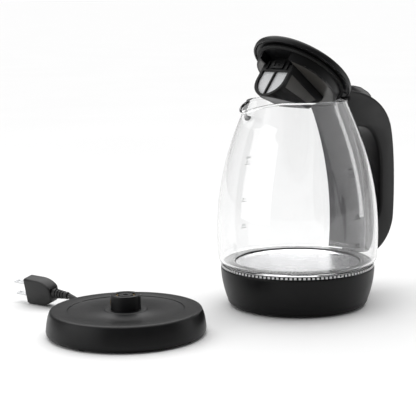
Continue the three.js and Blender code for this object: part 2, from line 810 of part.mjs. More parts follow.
function filterFront(shrink, top) {
  const w = FILTER_HALF_W - shrink;
  const low = SKIRT_Z - 0.4 - FILTER_DEPTH;
  const shape = new THREE.Shape();
  shape.moveTo(-w, top);
  shape.lineTo(-w, low + 20);
  shape.bezierCurveTo(-w, low + 6 + shrink, -6, low + shrink, 0, low + shrink);
  shape.bezierCurveTo(6, low + shrink, w, low + 6 + shrink, w, low + 20);
  shape.lineTo(w, top);
  shape.closePath();
  return shape;
}

// a front-view outline, given depth along X
function frontSlab(shape, x0, x1) {
  const options = { depth: x1 - x0, curveSegments: 6, bevelEnabled: false };
  const geometry = new THREE.ExtrudeGeometry(shape, options);
  geometry.rotateX(Math.PI / 2);
  geometry.rotateZ(Math.PI / 2);
  geometry.translate(x0, 0, 0);
  return toSolid(geometry);
}

function filterFrame() {
  const top = SKIRT_Z - 0.4;
  const outer = frontSlab(filterFront(0, top + 1), -60, 60);
  const inner = frontSlab(filterFront(FILTER_WALL, top + 1), -60, 60);
  const hollow = slab(filterSide(FILTER_WALL), 80).intersect(inner);
  let frame = slab(filterSide(0), 2 * FILTER_HALF_W).intersect(outer).subtract(hollow);
  frame = frame.subtract(box(FILTER_FRONT_X + 3, 17, -15, 15, top - 3, top + 9));
  const panes = frontSlab(filterFront(3.2, top - 7.8), -40, FILTER_FRONT_X + 5);
  frame = frame.subtract(panes.subtract(box(-60, 0, -1, 1, 100, 240)));
  const panel = slab([[-26, top - 8], [-26, top - 24], [10, top - 18], [17, top - 8]], 80);
  const proud = 2 * FILTER_HALF_W - 1.2;
  frame = frame.subtract(panel.subtract(box(-60, 60, -proud / 2, proud / 2, 100, 240)));
  return piece('filter_frame', largest(frame.add(filterClip())), blackMatt);
}

// the finger clip on the filter's front that snaps it into the skirt
function filterClip() {
  const top = SKIRT_Z - 0.4;
  const x = FILTER_FRONT_X;
  let clip = box(x, x + FILTER_WALL, -15, 15, top - 1, top + 4);
  clip = clip.add(box(x - 1.4, x + 1, -8, 8, top - 5, top + 4));
  clip = clip.subtract(box(x - 3, x - 0.6, -4.6, 4.6, top - 3, top + 2.4));
  clip = clip.add(box(x - 1.2, x, -1.6, 1.6, top - 3.4, top + 0.6));
  for (const side of [-1, 1]) {
    const y = [side * 12, side * 14.5].sort((a, b) => a - b);
    clip = clip.add(box(x - 1.2, x + 1, y[0], y[1], top - 5.6, top + 3));
  }
  return clip;
}

function filterFrontMesh() {
  const top = SKIRT_Z - 0.4;
  const x0 = FILTER_FRONT_X + FILTER_WALL + GAP;
  const sheet = frontSlab(filterFront(FILTER_WALL + GAP + 0.7, top - 4), x0, x0 + 0.6);
  return piece('filter_mesh_front', sheet, greyMesh);
}

// ---------- on/off lever ----------
function switchLever() {
  const z = LEVER_Z;
  const arm = slab([
    [LEVER_PIVOT_X - 5, z - 2],
    [LEVER_REACH - 8, z - 2],
    [LEVER_REACH, z + 1.2],
    [LEVER_REACH - 0.6, z + 3.2],
    [LEVER_REACH - 9, z + 1.6],
    [LEVER_PIVOT_X - 5, z + 1.6],
  ], LEVER_W - 1.2, 0.4);
  const boss = pinAlongY(3.4, -LEVER_W / 2 + 0.6, LEVER_W / 2 - 0.6, LEVER_PIVOT_X, z, 16);
  const bore = pinAlongY(1.5 + GAP, -30, 30, LEVER_PIVOT_X, z, 12);
  return piece('switch_lever', arm.add(boss).subtract(bore), blackGloss);
}

function switchPin() {
  return piece('switch_pivot_pin', pinAlongY(1.5, -13.5, 13.5, LEVER_PIVOT_X, LEVER_Z, 12), steel);
}

// ---------- power base ----------
// hand-laid route from the winding to the plug, from the base's own axis
const CORD_ROUTE = [
  [41.6, 48.6, 8],
  [38.1, 56.4, 6.4],
  [34.6, 64.2, 4.6],
  [31, 72.1, 3.3],
  [27.5, 80, 3.2],
  [24.2, 88, 4.9],
  [21.2, 96, 8.2],
  [18.7, 104.2, 12],
  [16.9, 112.4, 14.8],
];

// the short stretch between the strain relief and the winding
const CORD_TAIL = [
  [-19.85, -28.95, 8],
  [-18.7, -31.6, 8],
  [-17.2, -34.1, 8],
];

function cordNotch() {
  const along = box(-24, 24, -CORD_NOTCH / 2, CORD_NOTCH / 2, -2, COIL_Z + COIL_H + 0.4);
  const [x, y] = CORD_ROUTE[2];
  return moved(along.rotate([0, 0, CORD_HEADING]), x, y, 0);
}

function baseTopShell() {
  const z0 = BASE_FOOT_H - 0.4;
  const t = BASE_WALL;
  let shell = turned([
    [BASE_R - 2.6, z0],
    [BASE_R - 0.7, z0 + 1.2],
    [BASE_R, z0 + 3.6],
    [BASE_R - 0.9, 14],
    [BASE_TOP_R + 0.5, BASE_TOP_Z - 3],
    [BASE_TOP_R - 0.2, BASE_TOP_Z - 0.9],
    [BASE_TOP_R - 1.8, BASE_TOP_Z],
    [BASE_TOP_R - 4, BASE_TOP_Z - 0.1],
    [DISH_R + 0.8, DISH_Z + 0.9],
    [DISH_R, DISH_Z],
    [POST_R + 6.5, DISH_Z],
    [POST_R + 5.2, DISH_Z + 1],
    [POST_R + GAP, DISH_Z + 1],
    [POST_R + GAP, DISH_Z - t],
    [DISH_R, DISH_Z - t],
    [BASE_TOP_R - 5, BASE_TOP_Z - t - 0.4],
    [BASE_TOP_R - t - 0.6, BASE_TOP_Z - t - 1.4],
    [BASE_R - t - 1, 14],
    [BASE_R - t - 0.6, z0],
  ], ROUND);
  shell = shell.subtract(cordNotch());
  return piece('base_top_shell', shell, blackSatin);
}

function baseBottomCover() {
  const z0 = BASE_FOOT_H;
  const t = 2;
  let cover = turned([
    [0, z0],
    [HUB_R, z0],
    [HUB_R, CHANNEL_TOP],
    [CHANNEL_R, CHANNEL_TOP],
    [CHANNEL_R, z0],
    [BASE_R - BASE_WALL - 1.6, z0],
    [BASE_R - BASE_WALL - 1.6, z0 + t],
    [CHANNEL_R + t, z0 + t],
    [CHANNEL_R + t, CHANNEL_TOP + t],
    [HUB_R - t, CHANNEL_TOP + t],
    [HUB_R - t, z0 + t],
    [0, z0 + t],
  ], ROUND);
  for (let i = 0; i < 4; i += 1) {
    const cleat = box(HUB_R - 1, COIL_OUT_R - 3, -4, 4, z0 + 0.4, COIL_Z - GAP);
    cover = cover.add(cleat.rotate([0, 0, 76 + 90 * i]));
  }
  for (let i = 0; i < 3; i += 1) {
    const [x, y] = polar(21, (i * 2 * Math.PI) / 3);
    cover = cover.subtract(moved(disc(3.1, -1, z0 + 1, 12), x, y, 0));
    cover = cover.subtract(moved(disc(1.8, -1, z0 + 9, 12), x, y, 0));
  }
  cover = cover.subtract(cordNotch());
  cover = cover.subtract(reliefSolid(0.4));
  return piece('base_bottom_cover', cover, blackMatt);
}

// strain relief from the hub wall to the start of the winding
function reliefSolid(grow) {
  const start = polar(HUB_R - 1.4, RELIEF_AT);
  const cone = turned([
    [0, -grow],
    [4 + grow, -grow],
    [4 + grow, 4],
    [CORD_D / 2 + 0.4 + grow, RELIEF_L],
    [0, RELIEF_L],
  ], 16);
  const laid = cone.rotate([0, 90, 0]).rotate([0, 0, THREE.MathUtils.radToDeg(RELIEF_AT + RELIEF_TURN)]);
  return moved(laid, start[0], start[1], COIL_Z + COIL_H / 2);
}

function connectorPost() {
  const top = POST_TOP_Z;
  const post = turned([
    [2.2, top - 9],
    [2.2, top - 0.8],
    [3.2, top],
    [7, top],
    [7, top - 2.4],
    [9.2, top - 2.4],
    [9.2, top],
    [POST_R - 1, top],
    [POST_R, top - 1],
    [POST_R, DISH_Z - BASE_WALL - GAP - 0.1],
    [POST_R + 7, DISH_Z - BASE_WALL - GAP - 0.1],
    [POST_R + 7, DISH_Z - BASE_WALL - 2.4],
    [10, DISH_Z - BASE_WALL - 2.4],
    [10, DISH_Z - BASE_WALL - 5],
    [2.2, DISH_Z - BASE_WALL - 5],
  ], 28);
  const slot = moved(box(-4, 4, -2.6, 2.6, -6, 2.4), 0, 0, 0);
  const placed = moved(slot.rotate([0, 0, EARTH_AT]), ...polar(POST_R, (EARTH_AT * Math.PI) / 180), top - 6);
  return piece('connector_post', post.subtract(placed), blackSatin);
}

function earthContact() {
  const spring = box(-2.4, 0.1, -2, 2, -4.6, 1.6).rotate([0, 0, EARTH_AT]);
  const [x, y] = polar(POST_R, (EARTH_AT * Math.PI) / 180);
  return piece('earth_contact', moved(spring, x, y, POST_TOP_Z - 6), brass);
}

function liveContacts() {
  const ringSolid = ring(7.4, 8.8, POST_TOP_Z - 2, POST_TOP_Z - 1.1, 28);
  const pinSolid = disc(1.7, POST_TOP_Z - 12, POST_TOP_Z - 2.2, 12);
  return [
    piece('contact_ring', ringSolid, brass),
    piece('contact_pin', pinSolid, brass),
  ];
}

function terminalBlock() {
  const z0 = BASE_FOOT_H + 2 + GAP;
  return piece('terminal_block', box(-13, 13, -7, 7, z0, z0 + 6.5), whiteNylon);
}

function baseFeet() {
  const feet = [];
  for (let i = 0; i < 4; i += 1) {
    const [x, y] = polar(CHANNEL_R + 3.9, THREE.MathUtils.degToRad(16 + 90 * i));
    feet.push(piece(`base_foot_${i + 1}`, moved(disc(3.2, 0, BASE_FOOT_H - GAP, 14), x, y, 0), rubber));
  }
  return feet;
}

function baseScrews() {
  const screws = [];
  for (let i = 0; i < 3; i += 1) {
    const [x, y] = polar(21, (i * 2 * Math.PI) / 3);
    const solid = moved(screw(2.8, 0.7, 1.4, 7), x, y, BASE_FOOT_H + 0.1);
    screws.push(piece(`base_screw_${i + 1}`, solid, darkSteel));
  }
  return screws;
}

// ---------- mains lead and plug ----------
function cordCoil() {
  return piece('cord_coil', ring(COIL_IN_R, COIL_OUT_R, COIL_Z, COIL_Z + COIL_H, 40), blackMatt);
}

function cordTail() {
  return piece('cord_tail', tube(CORD_TAIL, CORD_D, 8, 3), blackMatt);
}

function cordLead() {
  return piece('cord_lead', tube(CORD_ROUTE, CORD_D, 10, 9), blackMatt);
}

function plugGroup() {
  const group = new THREE.Group();
  const height = (PLUG_W / 2) * Math.cos(PLUG_LEAN) + (PLUG_T / 2) * Math.abs(Math.sin(PLUG_LEAN)) + 0.2;
  group.position.set(PLUG_FACE[0], PLUG_FACE[1], height);
  group.rotation.order = 'ZYX';
  group.rotation.z = PLUG_YAW;
  group.rotation.x = PLUG_LEAN;
  const w = PLUG_W / 2;
  const outline = new THREE.Shape();
  outline.moveTo(0, -w);
  outline.lineTo(-19, -w);
  outline.bezierCurveTo(-29, -w, -PLUG_L, -w + 6, -PLUG_L, -5.5);
  outline.lineTo(-PLUG_L, 5.5);
  outline.bezierCurveTo(-PLUG_L, w - 6, -29, w, -19, w);
  outline.lineTo(0, w);
  outline.closePath();
  let body = slab(outline, PLUG_T, 2.4);
  for (const side of [-1, 1]) {
    const z = (side * BLADE_SPACING) / 2;
    body = body.subtract(box(-4, 1, -3.5, 3.5, z - 1.1, z + 1.1));
  }
  group.add(piece('plug_body', body, blackMatt));
  const tip = PLUG_RELIEF_L - GAP;
  const relief = turned([[0, GAP], [5, GAP], [CORD_D / 2 + 0.5, tip], [0, tip]], 14);
  group.add(piece('plug_strain_relief', moved(relief.rotate([0, -90, 0]), -PLUG_L, 0, 0), blackMatt));
  for (const [side, label] of [[1, 'upper'], [-1, 'lower']]) {
    const z = (side * BLADE_SPACING) / 2;
    const blade = box(-3.6, BLADE_L, -3.175, 3.175, z - 0.75, z + 0.75);
    const hole = moved(disc(1.6, -4, 4, 12), BLADE_L - 4, 0, z);
    group.add(piece(`plug_blade_${label}`, blade.subtract(hole), steel));
  }
  return group;
}

// ---------- assembly ----------
function lidGroup() {
  const pivot = new THREE.Group();
  pivot.position.set(PIN_X, 0, PIN_Z);
  pivot.rotation.y = LID_OPEN;
  const closed = new THREE.Group();
  closed.position.set(-PIN_X, 0, -PIN_Z);
  closed.add(lidCover(), lidCatch(), lidSkirt(), lidSeal());
  closed.add(filterFrame(), filterFrontMesh());
  pivot.add(closed);
  return pivot;
}

function kettleGroup() {
  const kettle = new THREE.Group();
  kettle.add(glassJug(), baseHousing(), housingBottomCover(), jugSeal(), heaterPlate(), heatSpreader());
  kettle.add(heatingElement(), thermostatBlock(), kettleConnector(), ...housingScrews(), ...kettleFeet());
  kettle.add(handleShell(), handleInnerCover(), handleStrap(), steamTube());
  kettle.add(hingeBracket(), hingePin(), lidSpring(), buttonSpring(), releaseButton(), lidLatch());
  kettle.add(switchLever(), switchPin());
  kettle.add(lidGroup());
  return kettle;
}

function powerBaseGroup() {
  const base = new THREE.Group();
  base.position.set(BASE_X, BASE_Y, 0);
  base.add(baseTopShell(), baseBottomCover(), connectorPost(), earthContact(), ...liveContacts());
  base.add(terminalBlock(), ...baseFeet(), ...baseScrews());
  return base;
}

function cordGroup() {
  const cord = new THREE.Group();
  cord.position.set(BASE_X, BASE_Y, 0);
  cord.add(piece('cord_strain_relief', reliefSolid(0), blackMatt), cordTail(), cordCoil());
  cord.add(cordLead(), plugGroup());
  return cord;
}

// the origin is under the middle of the kettle and the power base, without the cord
const object = new THREE.Group();
object.add(powerBaseGroup(), kettleGroup());
const middle = new THREE.Box3().setFromObject(object, true).getCenter(new THREE.Vector3());
object.add(cordGroup());
object.position.set(-middle.x, -middle.y, 0);

export default object;
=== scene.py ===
# %% [markdown]
# # A glass kettle, its lid open, beside its power base
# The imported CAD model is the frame: every size and place here starts from it. CAD nodes whose shape is
# already right keep their mesh and only get a finish. Pieces with soft curves are modelled again, finer,
# and stand for their CAD node.

import json
import math

import bmesh
import bpy
from mathutils import Matrix, Vector


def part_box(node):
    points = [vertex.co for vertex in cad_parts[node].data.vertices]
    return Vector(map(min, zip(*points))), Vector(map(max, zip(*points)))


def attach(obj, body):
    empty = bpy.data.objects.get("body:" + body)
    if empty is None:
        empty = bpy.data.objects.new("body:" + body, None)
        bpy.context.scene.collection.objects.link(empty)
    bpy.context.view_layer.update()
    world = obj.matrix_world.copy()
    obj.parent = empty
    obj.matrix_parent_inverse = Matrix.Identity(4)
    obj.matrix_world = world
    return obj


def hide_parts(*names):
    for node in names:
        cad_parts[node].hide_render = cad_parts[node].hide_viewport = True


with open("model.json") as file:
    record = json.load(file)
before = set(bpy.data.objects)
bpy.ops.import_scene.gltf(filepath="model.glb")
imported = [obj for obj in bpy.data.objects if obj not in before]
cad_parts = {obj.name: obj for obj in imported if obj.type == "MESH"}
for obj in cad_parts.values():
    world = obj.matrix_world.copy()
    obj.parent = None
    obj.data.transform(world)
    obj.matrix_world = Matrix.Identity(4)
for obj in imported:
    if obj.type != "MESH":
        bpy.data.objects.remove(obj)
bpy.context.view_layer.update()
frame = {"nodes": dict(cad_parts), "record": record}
NODES = frame["nodes"]
MM = 0.001

# %% [markdown]
# ## Where things stand
# Two round things set the layout. The kettle's axis is the middle of its seal ring, and the power base's
# axis is the middle of its top shell, so both are read from the CAD boxes and not typed in.

# %% the two axes


def middle(node):
    low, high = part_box(node)
    return (Vector(low) + Vector(high)) / 2


KETTLE = middle("jug_seal_ring")
KETTLE.z = 0
BASE = middle("base_top_shell")
BASE.z = 0
PIN = middle("hinge_pin")
LID_OPEN = math.radians(38.5)
print("kettle axis", KETTLE, "base axis", BASE, "lid pin", PIN)

# %% places in millimetres


def at_kettle(x, y, z):
    """A place given in millimetres from the kettle's own axis."""
    return Vector((x * MM, y * MM, z * MM)) + KETTLE


def at_base(x, y, z):
    """A place given in millimetres from the power base's own axis."""
    return Vector((x * MM, y * MM, z * MM)) + BASE


def put_in_scene(name, data):
    """A new object that holds the given mesh, curve, light or camera."""
    thing = bpy.data.objects.new(name, data)
    bpy.context.scene.collection.objects.link(thing)
    return thing


print("the lid pin is", round((PIN - KETTLE).x / MM, 1), "mm from the kettle's axis")

# %% [markdown]
# ## Camera
# A product shot is taken from far away with a long lens, so that the shapes keep their proportions. A
# short lens close by would swell the power base, which is nearer. The camera stands about 1.3 m off, a
# little above the rim, and looks slightly down.

# %% camera
CAMERA_AT = at_kettle(-934.1, -902.1, 307.5)
LOOK = Vector((0.6612, 0.7331, -0.1593)).normalized()
ROLL = -0.014
LENS_MM = 113.28
SENSOR_MM = 36
NEAREST, FARTHEST = 0.05, 400

level = LOOK.cross(Vector((0, 0, 1))).normalized()
above = level.cross(LOOK)
right = level * math.cos(ROLL) + above * math.sin(ROLL)
up = above * math.cos(ROLL) - level * math.sin(ROLL)
turn = Matrix((right, up, -LOOK)).transposed()

camera_data = bpy.data.cameras.new("camera")
camera_data.lens = LENS_MM
camera_data.sensor_width = SENSOR_MM
camera_data.clip_start = NEAREST
camera_data.clip_end = FARTHEST
camera = put_in_scene("camera", camera_data)
camera.matrix_world = Matrix.Translation(CAMERA_AT) @ turn.to_4x4()
bpy.context.scene.camera = camera
print("camera at", camera.location)

# %% [markdown]
# ## Finishes
# Nothing real is one flat colour. Each finish is a Principled shader whose colour and roughness drift a
# little with a noise read from the piece's own coordinates, plus a fine bump for the moulded grain. A
# painted texture would need UVs on every piece, and a noise needs none.

# %% a material with a drifting colour, roughness and grain
COLOUR_STOPS = (0.35, 0.65)
DRIFT_LOW, DRIFT_HIGH = 0.3, 0.7
GRAIN_DEPTH = 0.2 * MM


def noise_node(tree, scale, detail):
    """A noise read from the piece's own coordinates."""
    place = tree.nodes.new("ShaderNodeTexCoord")
    noise = tree.nodes.new("ShaderNodeTexNoise")
    noise.inputs["Scale"].default_value = scale
    noise.inputs["Detail"].default_value = detail
    tree.links.new(place.outputs["Object"], noise.inputs["Vector"])
    return noise


def remap(tree, source, low, high):
    """Spreads the middle of a noise over the range from low to high."""
    node = tree.nodes.new("ShaderNodeMapRange")
    node.inputs["From Min"].default_value = DRIFT_LOW
    node.inputs["From Max"].default_value = DRIFT_HIGH
    node.inputs["To Min"].default_value = low
    node.inputs["To Max"].default_value = high
    tree.links.new(source, node.inputs["Value"])
    return node.outputs["Result"]


def relief_from(tree, height, strength):
    """Turns a height into a fine relief on the surface."""
    relief = tree.nodes.new("ShaderNodeBump")
    relief.inputs["Strength"].default_value = strength
    relief.inputs["Distance"].default_value = GRAIN_DEPTH
    tree.links.new(height, relief.inputs["Height"])
    tree.links.new(relief.outputs["Normal"], tree.nodes["Principled BSDF"].inputs["Normal"])


def finish(name, dark, light, rough, metallic=0.0, drift=60, grain=0, bump=0.0, shine=0.5):
    """A colour that drifts from dark to light, a roughness that drifts with it, and a moulded grain."""
    material = bpy.data.materials.new(name)
    material.use_nodes = True
    tree = material.node_tree
    shader = tree.nodes["Principled BSDF"]
    shader.inputs["Metallic"].default_value = metallic
    shader.inputs["Specular IOR Level"].default_value = shine
    noise = noise_node(tree, drift, 3)
    ramp = tree.nodes.new("ShaderNodeValToRGB")
    for stop, position, colour in zip(ramp.color_ramp.elements, COLOUR_STOPS, (dark, light)):
        stop.position = position
        stop.color = (*colour, 1)
    tree.links.new(noise.outputs["Fac"], ramp.inputs["Fac"])
    tree.links.new(ramp.outputs["Color"], shader.inputs["Base Color"])
    tree.links.new(remap(tree, noise.outputs["Fac"], *rough), shader.inputs["Roughness"])
    if bump:
        relief_from(tree, noise_node(tree, grain, 2).outputs["Fac"], bump)
    return material


print("finish helper ready")

# %% [markdown]
# The plastics are black but differ in shine: satin on the housings, gloss on the button, matt inside. The
# strap behind the glass is black too, but painted a lighter grey: a painted glare that stands in for the
# glass's reflection over it. Black plastic needs a very low base colour and a low specular level, or the
# soft lights wash it out to grey.

# %% plain finishes
black_satin = finish(
    "black_satin", (0.0022, 0.0022, 0.0024), (0.0036, 0.0036, 0.004), (0.34, 0.42),
    grain=2600, bump=0.10, shine=0.20,
)
black_gloss = finish(
    "black_gloss", (0.0018, 0.0018, 0.002), (0.003, 0.003, 0.0033), (0.14, 0.20), shine=0.40,
)
# Painted glare: the strap is black plastic, and this lighter grey stands in for the glass's reflection over
# it.
strap_painted_glare = finish(
    "strap_painted_glare", (0.135, 0.132, 0.140), (0.160, 0.157, 0.166), (0.38, 0.46),
    grain=1800, bump=0.08, shine=0.4,
)
black_matt = finish(
    "black_matt", (0.004, 0.004, 0.004), (0.007, 0.007, 0.007), (0.46, 0.56),
    grain=2200, bump=0.15, shine=0.22,
)
rubber = finish(
    "rubber", (0.006, 0.006, 0.006), (0.010, 0.010, 0.010), (0.7, 0.8), grain=1800, bump=0.2, shine=0.3,
)
cord_black = finish(
    "cord_black", (0.006, 0.006, 0.006), (0.011, 0.011, 0.011), (0.42, 0.5),
    grain=1500, bump=0.12, shine=0.35,
)
nylon = finish("nylon", (0.62, 0.60, 0.56), (0.72, 0.70, 0.66), (0.42, 0.52))
steel = finish("steel", (0.58, 0.59, 0.60), (0.68, 0.69, 0.70), (0.20, 0.28), 1.0, 120)
dark_steel = finish("dark_steel", (0.28, 0.29, 0.30), (0.38, 0.39, 0.40), (0.36, 0.46), 1.0, 120)
brass = finish("brass", (0.66, 0.46, 0.20), (0.76, 0.55, 0.26), (0.22, 0.30), 1.0, 120)
print("plain finishes made")

# %% [markdown]
# The heater plate is brushed in circles. An anisotropic shader could stretch the highlight, but real fine
# rings hold up close: the distance from the plate's axis drives a noise, and that noise is the relief.

# %% brushed heater plate
RING_FINENESS = 1400
RING_RELIEF = 0.25


def radius_from(tree, centre):
    """How far a point is from an upright axis."""
    place = tree.nodes.new("ShaderNodeTexCoord")
    shift = tree.nodes.new("ShaderNodeMapping")
    shift.inputs["Location"].default_value = (-centre.x, -centre.y, 0)
    shift.inputs["Scale"].default_value = (1, 1, 0)
    length = tree.nodes.new("ShaderNodeVectorMath")
    length.operation = "LENGTH"
    tree.links.new(place.outputs["Object"], shift.inputs["Vector"])
    tree.links.new(shift.outputs["Vector"], length.inputs[0])
    return length.outputs["Value"]


plate_steel = finish("plate_steel", (0.77, 0.77, 0.78), (0.80, 0.80, 0.81), (0.25, 0.28), 1.0, 40)
tree = plate_steel.node_tree
rings = tree.nodes.new("ShaderNodeTexNoise")
rings.noise_dimensions = "1D"
rings.inputs["Scale"].default_value = RING_FINENESS
rings.inputs["Detail"].default_value = 2
tree.links.new(radius_from(tree, KETTLE), rings.inputs["W"])
relief_from(tree, rings.outputs["Fac"], RING_RELIEF)
print("plate finish made")

# %% [markdown]
# Glass lets light through and bends it. The jug's wall is a real wall with two faces, so its shader is
# plain transmission with the refraction of borosilicate. A faint drift in roughness keeps the shine from
# looking computed. The seal ring is milky, not clear, so it passes only part of the light.

# %% clear and milky finishes
GLASS_IOR = 1.47
SILICONE_IOR = 1.41


def clear(name, tint, rough, transmission, ior):
    """A finish that passes a share of the light."""
    material = finish(name, tint, tuple(min(1, c * 1.01) for c in tint), rough)
    shader = material.node_tree.nodes["Principled BSDF"]
    shader.inputs["Transmission Weight"].default_value = transmission
    shader.inputs["IOR"].default_value = ior
    return material


jug_glass = clear("jug_glass", (0.962, 0.963, 0.964), (0.0, 0.010), 1.0, GLASS_IOR)
milky = clear("milky_silicone", (0.90, 0.90, 0.90), (0.18, 0.28), 0.45, SILICONE_IOR)
seal_light = clear("seal_light", (0.88, 0.88, 0.88), (0.16, 0.24), 0.2, SILICONE_IOR)
mark_grey = finish("level_print", (0.03, 0.03, 0.032), (0.045, 0.045, 0.048), (0.5, 0.6))
smoke = finish(
    "smoke_panel", (0.040, 0.038, 0.034), (0.050, 0.047, 0.043), (0.36, 0.44), grain=2600, bump=0.1,
)
print("glass made")

# %% [markdown]
# The filter's front pane is a fine woven mesh. Modelling each thread would take hundreds of thousands of
# faces for a pane the size of a stamp, so a fine checker of two greys stands for the crossing threads,
# and a little transmission lets some light through.

# %% woven filter mesh
WEAVE_FINENESS = 1500
THREAD_OVER, THREAD_UNDER = (0.82, 0.83, 0.84, 1), (0.56, 0.57, 0.58, 1)

weave = finish("filter_weave", (0.50, 0.51, 0.52), (0.60, 0.61, 0.62), (0.45, 0.55))
tree = weave.node_tree
place = tree.nodes.new("ShaderNodeTexCoord")
threads = tree.nodes.new("ShaderNodeTexChecker")
threads.inputs["Scale"].default_value = WEAVE_FINENESS
threads.inputs["Color1"].default_value = THREAD_OVER
threads.inputs["Color2"].default_value = THREAD_UNDER
tree.links.new(place.outputs["Object"], threads.inputs["Vector"])
tree.links.new(threads.outputs["Color"], tree.nodes["Principled BSDF"].inputs["Base Color"])
tree.nodes["Principled BSDF"].inputs["Transmission Weight"].default_value = 0.15
print("weave made")

# %% [markdown]
# ## The mains lead
# The lead leaves its strain relief under the power base, winds round the hub, slips out through the
# notch in the shell and runs to the plug. It is one curve of round section with a real length. The
# winding is worked out as a spiral, since its turns have to lie a diameter apart, and the free end is a
# list of chosen points.

# %% the winding under the base
CORD_D = 5.6 * MM
CORD_Z = 8
RELIEF_TIP = (-19.76, -28.58)
FIRST_TURN_R, LAST_TURN_R = 34.75, 57.8
SWING = 0.78
OUTWARD_FIRST, OUTWARD_LAST = 24.4, 0.92
SWING_POINTS, TURN_POINTS = 6, 44
LEAVES_AT = math.radians(24) + 2 * math.pi * 2


def winding():
    """The route under the base: off the relief, out to the first turn, then round the hub."""
    start = math.atan2(RELIEF_TIP[1], RELIEF_TIP[0])
    points = []
    for i in range(SWING_POINTS):
        swung = SWING * i / SWING_POINTS
        slowed = (OUTWARD_FIRST - OUTWARD_LAST) * swung**2 / (2 * SWING)
        points.append((FIRST_TURN_R + OUTWARD_FIRST * swung - slowed, start + swung))
    inner = FIRST_TURN_R + (OUTWARD_FIRST + OUTWARD_LAST) / 2 * SWING
    begin = start + SWING
    for i in range(TURN_POINTS + 1):
        share = i / TURN_POINTS
        points.append((inner + (LAST_TURN_R - inner) * share, begin + (LEAVES_AT - begin) * share))
    return [at_base(r * math.cos(a), r * math.sin(a), CORD_Z) for r, a in points]


wound = winding()
print("winding of", len(wound), "points")

# %% the free end and the whole route
STRAIGHT_OFF = [(52.8 - 0.4067 * s, 23.5 + 0.9135 * s, CORD_Z) for s in (9, 18)]
LEAD = [
    (41.6, 48.6, 8), (38.1, 56.4, 6.4), (34.6, 64.2, 4.6), (31, 72.1, 3.3), (27.5, 80, 3.2),
    (24.2, 88, 4.9), (21.2, 96, 8.2), (18.7, 104.2, 12), (16.9, 112.4, 14.8),
]
route = wound + [at_base(*p) for p in STRAIGHT_OFF + LEAD]


def smooth_path(points, per_span=6):
    """Points on a smooth curve through the given ones."""
    out = []
    for i in range(len(points) - 1):
        p0 = points[max(i - 1, 0)]
        p1, p2 = points[i], points[i + 1]
        p3 = points[min(i + 2, len(points) - 1)]
        for k in range(per_span):
            t = k / per_span
            a = 2 * p1
            b = p2 - p0
            c = 2 * p0 - 5 * p1 + 4 * p2 - p3
            d = 3 * p1 - p0 - 3 * p2 + p3
            out.append((a + b * t + c * t * t + d * t**3) / 2)
    out.append(points[-1].copy())
    return out


fine_route = smooth_path(route)

# %% [markdown]
# A curve object with a round bevel is the usual way to draw a cable: its own line is the centreline, so
# the length can be measured. A mesh tube would lose that.

# %% the lead as a bevelled curve
curve = bpy.data.curves.new("mains_lead", "CURVE")
curve.dimensions = "3D"
curve.bevel_depth = CORD_D / 2
curve.bevel_resolution = 4
curve.use_fill_caps = True
spline = curve.splines.new("POLY")
spline.points.add(len(fine_route) - 1)
for point, co in zip(spline.points, fine_route):
    point.co = (*co, 1)
lead = put_in_scene("mains_lead", curve)
curve.materials.append(cord_black)
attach(lead, "power_base")
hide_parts("cord_coil", "cord_lead", "cord_tail")
print("lead drawn with", len(fine_route), "points")

# %% [markdown]
# ## Helpers for turned, sheared and bent pieces
# Most of a kettle is turned: a profile spun about an axis. The rest is a side view given a thickness.
# Each helper returns a bmesh, and one function turns it into a finished piece.

# %% from a bmesh to a piece
SAME_PLACE = 1e-6
ON_PLANE = 1e-7


def build(name, mesh_maker, material, body, slot, *replaced, smooth=40):
    """Makes a finished piece from a bmesh, with its faces out and its sharp edges kept sharp."""
    work = mesh_maker()
    bmesh.ops.remove_doubles(work, verts=work.verts, dist=SAME_PLACE)
    bmesh.ops.recalc_face_normals(work, faces=work.faces)
    for face in work.faces:
        face.smooth = True
    limit = math.radians(smooth)
    for edge in work.edges:
        edge.smooth = not (edge.is_manifold and edge.calc_face_angle(0) > limit)
    mesh = bpy.data.meshes.new(name)
    work.to_mesh(mesh)
    work.free()
    mesh.materials.append(material)
    piece = put_in_scene(name, mesh)
    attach(piece, body)
    if replaced:
        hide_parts(*replaced)
    return piece


def size_of(piece):
    """A piece's length, depth and height in metres, for the printed notes."""
    return [round(v, 4) for v in piece.dimensions]


print("pieces can be built")

# %% turned shapes and side views


def spun(profile, centre, steps=128):
    """A closed profile of (radius, height) in millimetres, spun a full turn about an upright axis."""
    work = bmesh.new()
    rail = [work.verts.new((centre.x + r * MM, centre.y, z * MM)) for r, z in profile]
    edges = [work.edges.new((a, b)) for a, b in zip(rail, rail[1:] + rail[:1])]
    bmesh.ops.spin(
        work, geom=rail + edges, cent=centre, axis=(0, 0, 1), angle=2 * math.pi, steps=steps, use_merge=True,
    )
    bmesh.ops.remove_doubles(work, verts=work.verts, dist=SAME_PLACE)
    bmesh.ops.dissolve_degenerate(work, dist=ON_PLANE, edges=work.edges)
    bmesh.ops.recalc_face_normals(work, faces=work.faces)
    return work


def slab(outline, width, edge, centre_y=0.0, segments=4):
    """A side view in (x, z) millimetres from the kettle's axis, given a width along Y and round edges."""
    work = bmesh.new()
    half = width / 2
    ring = [work.verts.new(at_kettle(x, centre_y - half, z)) for x, z in outline]
    face = work.faces.new(ring)
    grown = bmesh.ops.extrude_face_region(work, geom=[face])
    moved = [item for item in grown["geom"] if isinstance(item, bmesh.types.BMVert)]
    bmesh.ops.translate(work, verts=moved, vec=(0, width * MM, 0))
    bmesh.ops.recalc_face_normals(work, faces=work.faces)
    if edge:
        rims = [e for e in work.edges if abs(e.verts[0].co.y - e.verts[1].co.y) < ON_PLANE]
        bmesh.ops.bevel(
            work, geom=rims, offset=edge * MM, segments=segments, profile=0.5, affect="EDGES", material=-1,
            clamp_overlap=True,
        )
    return work


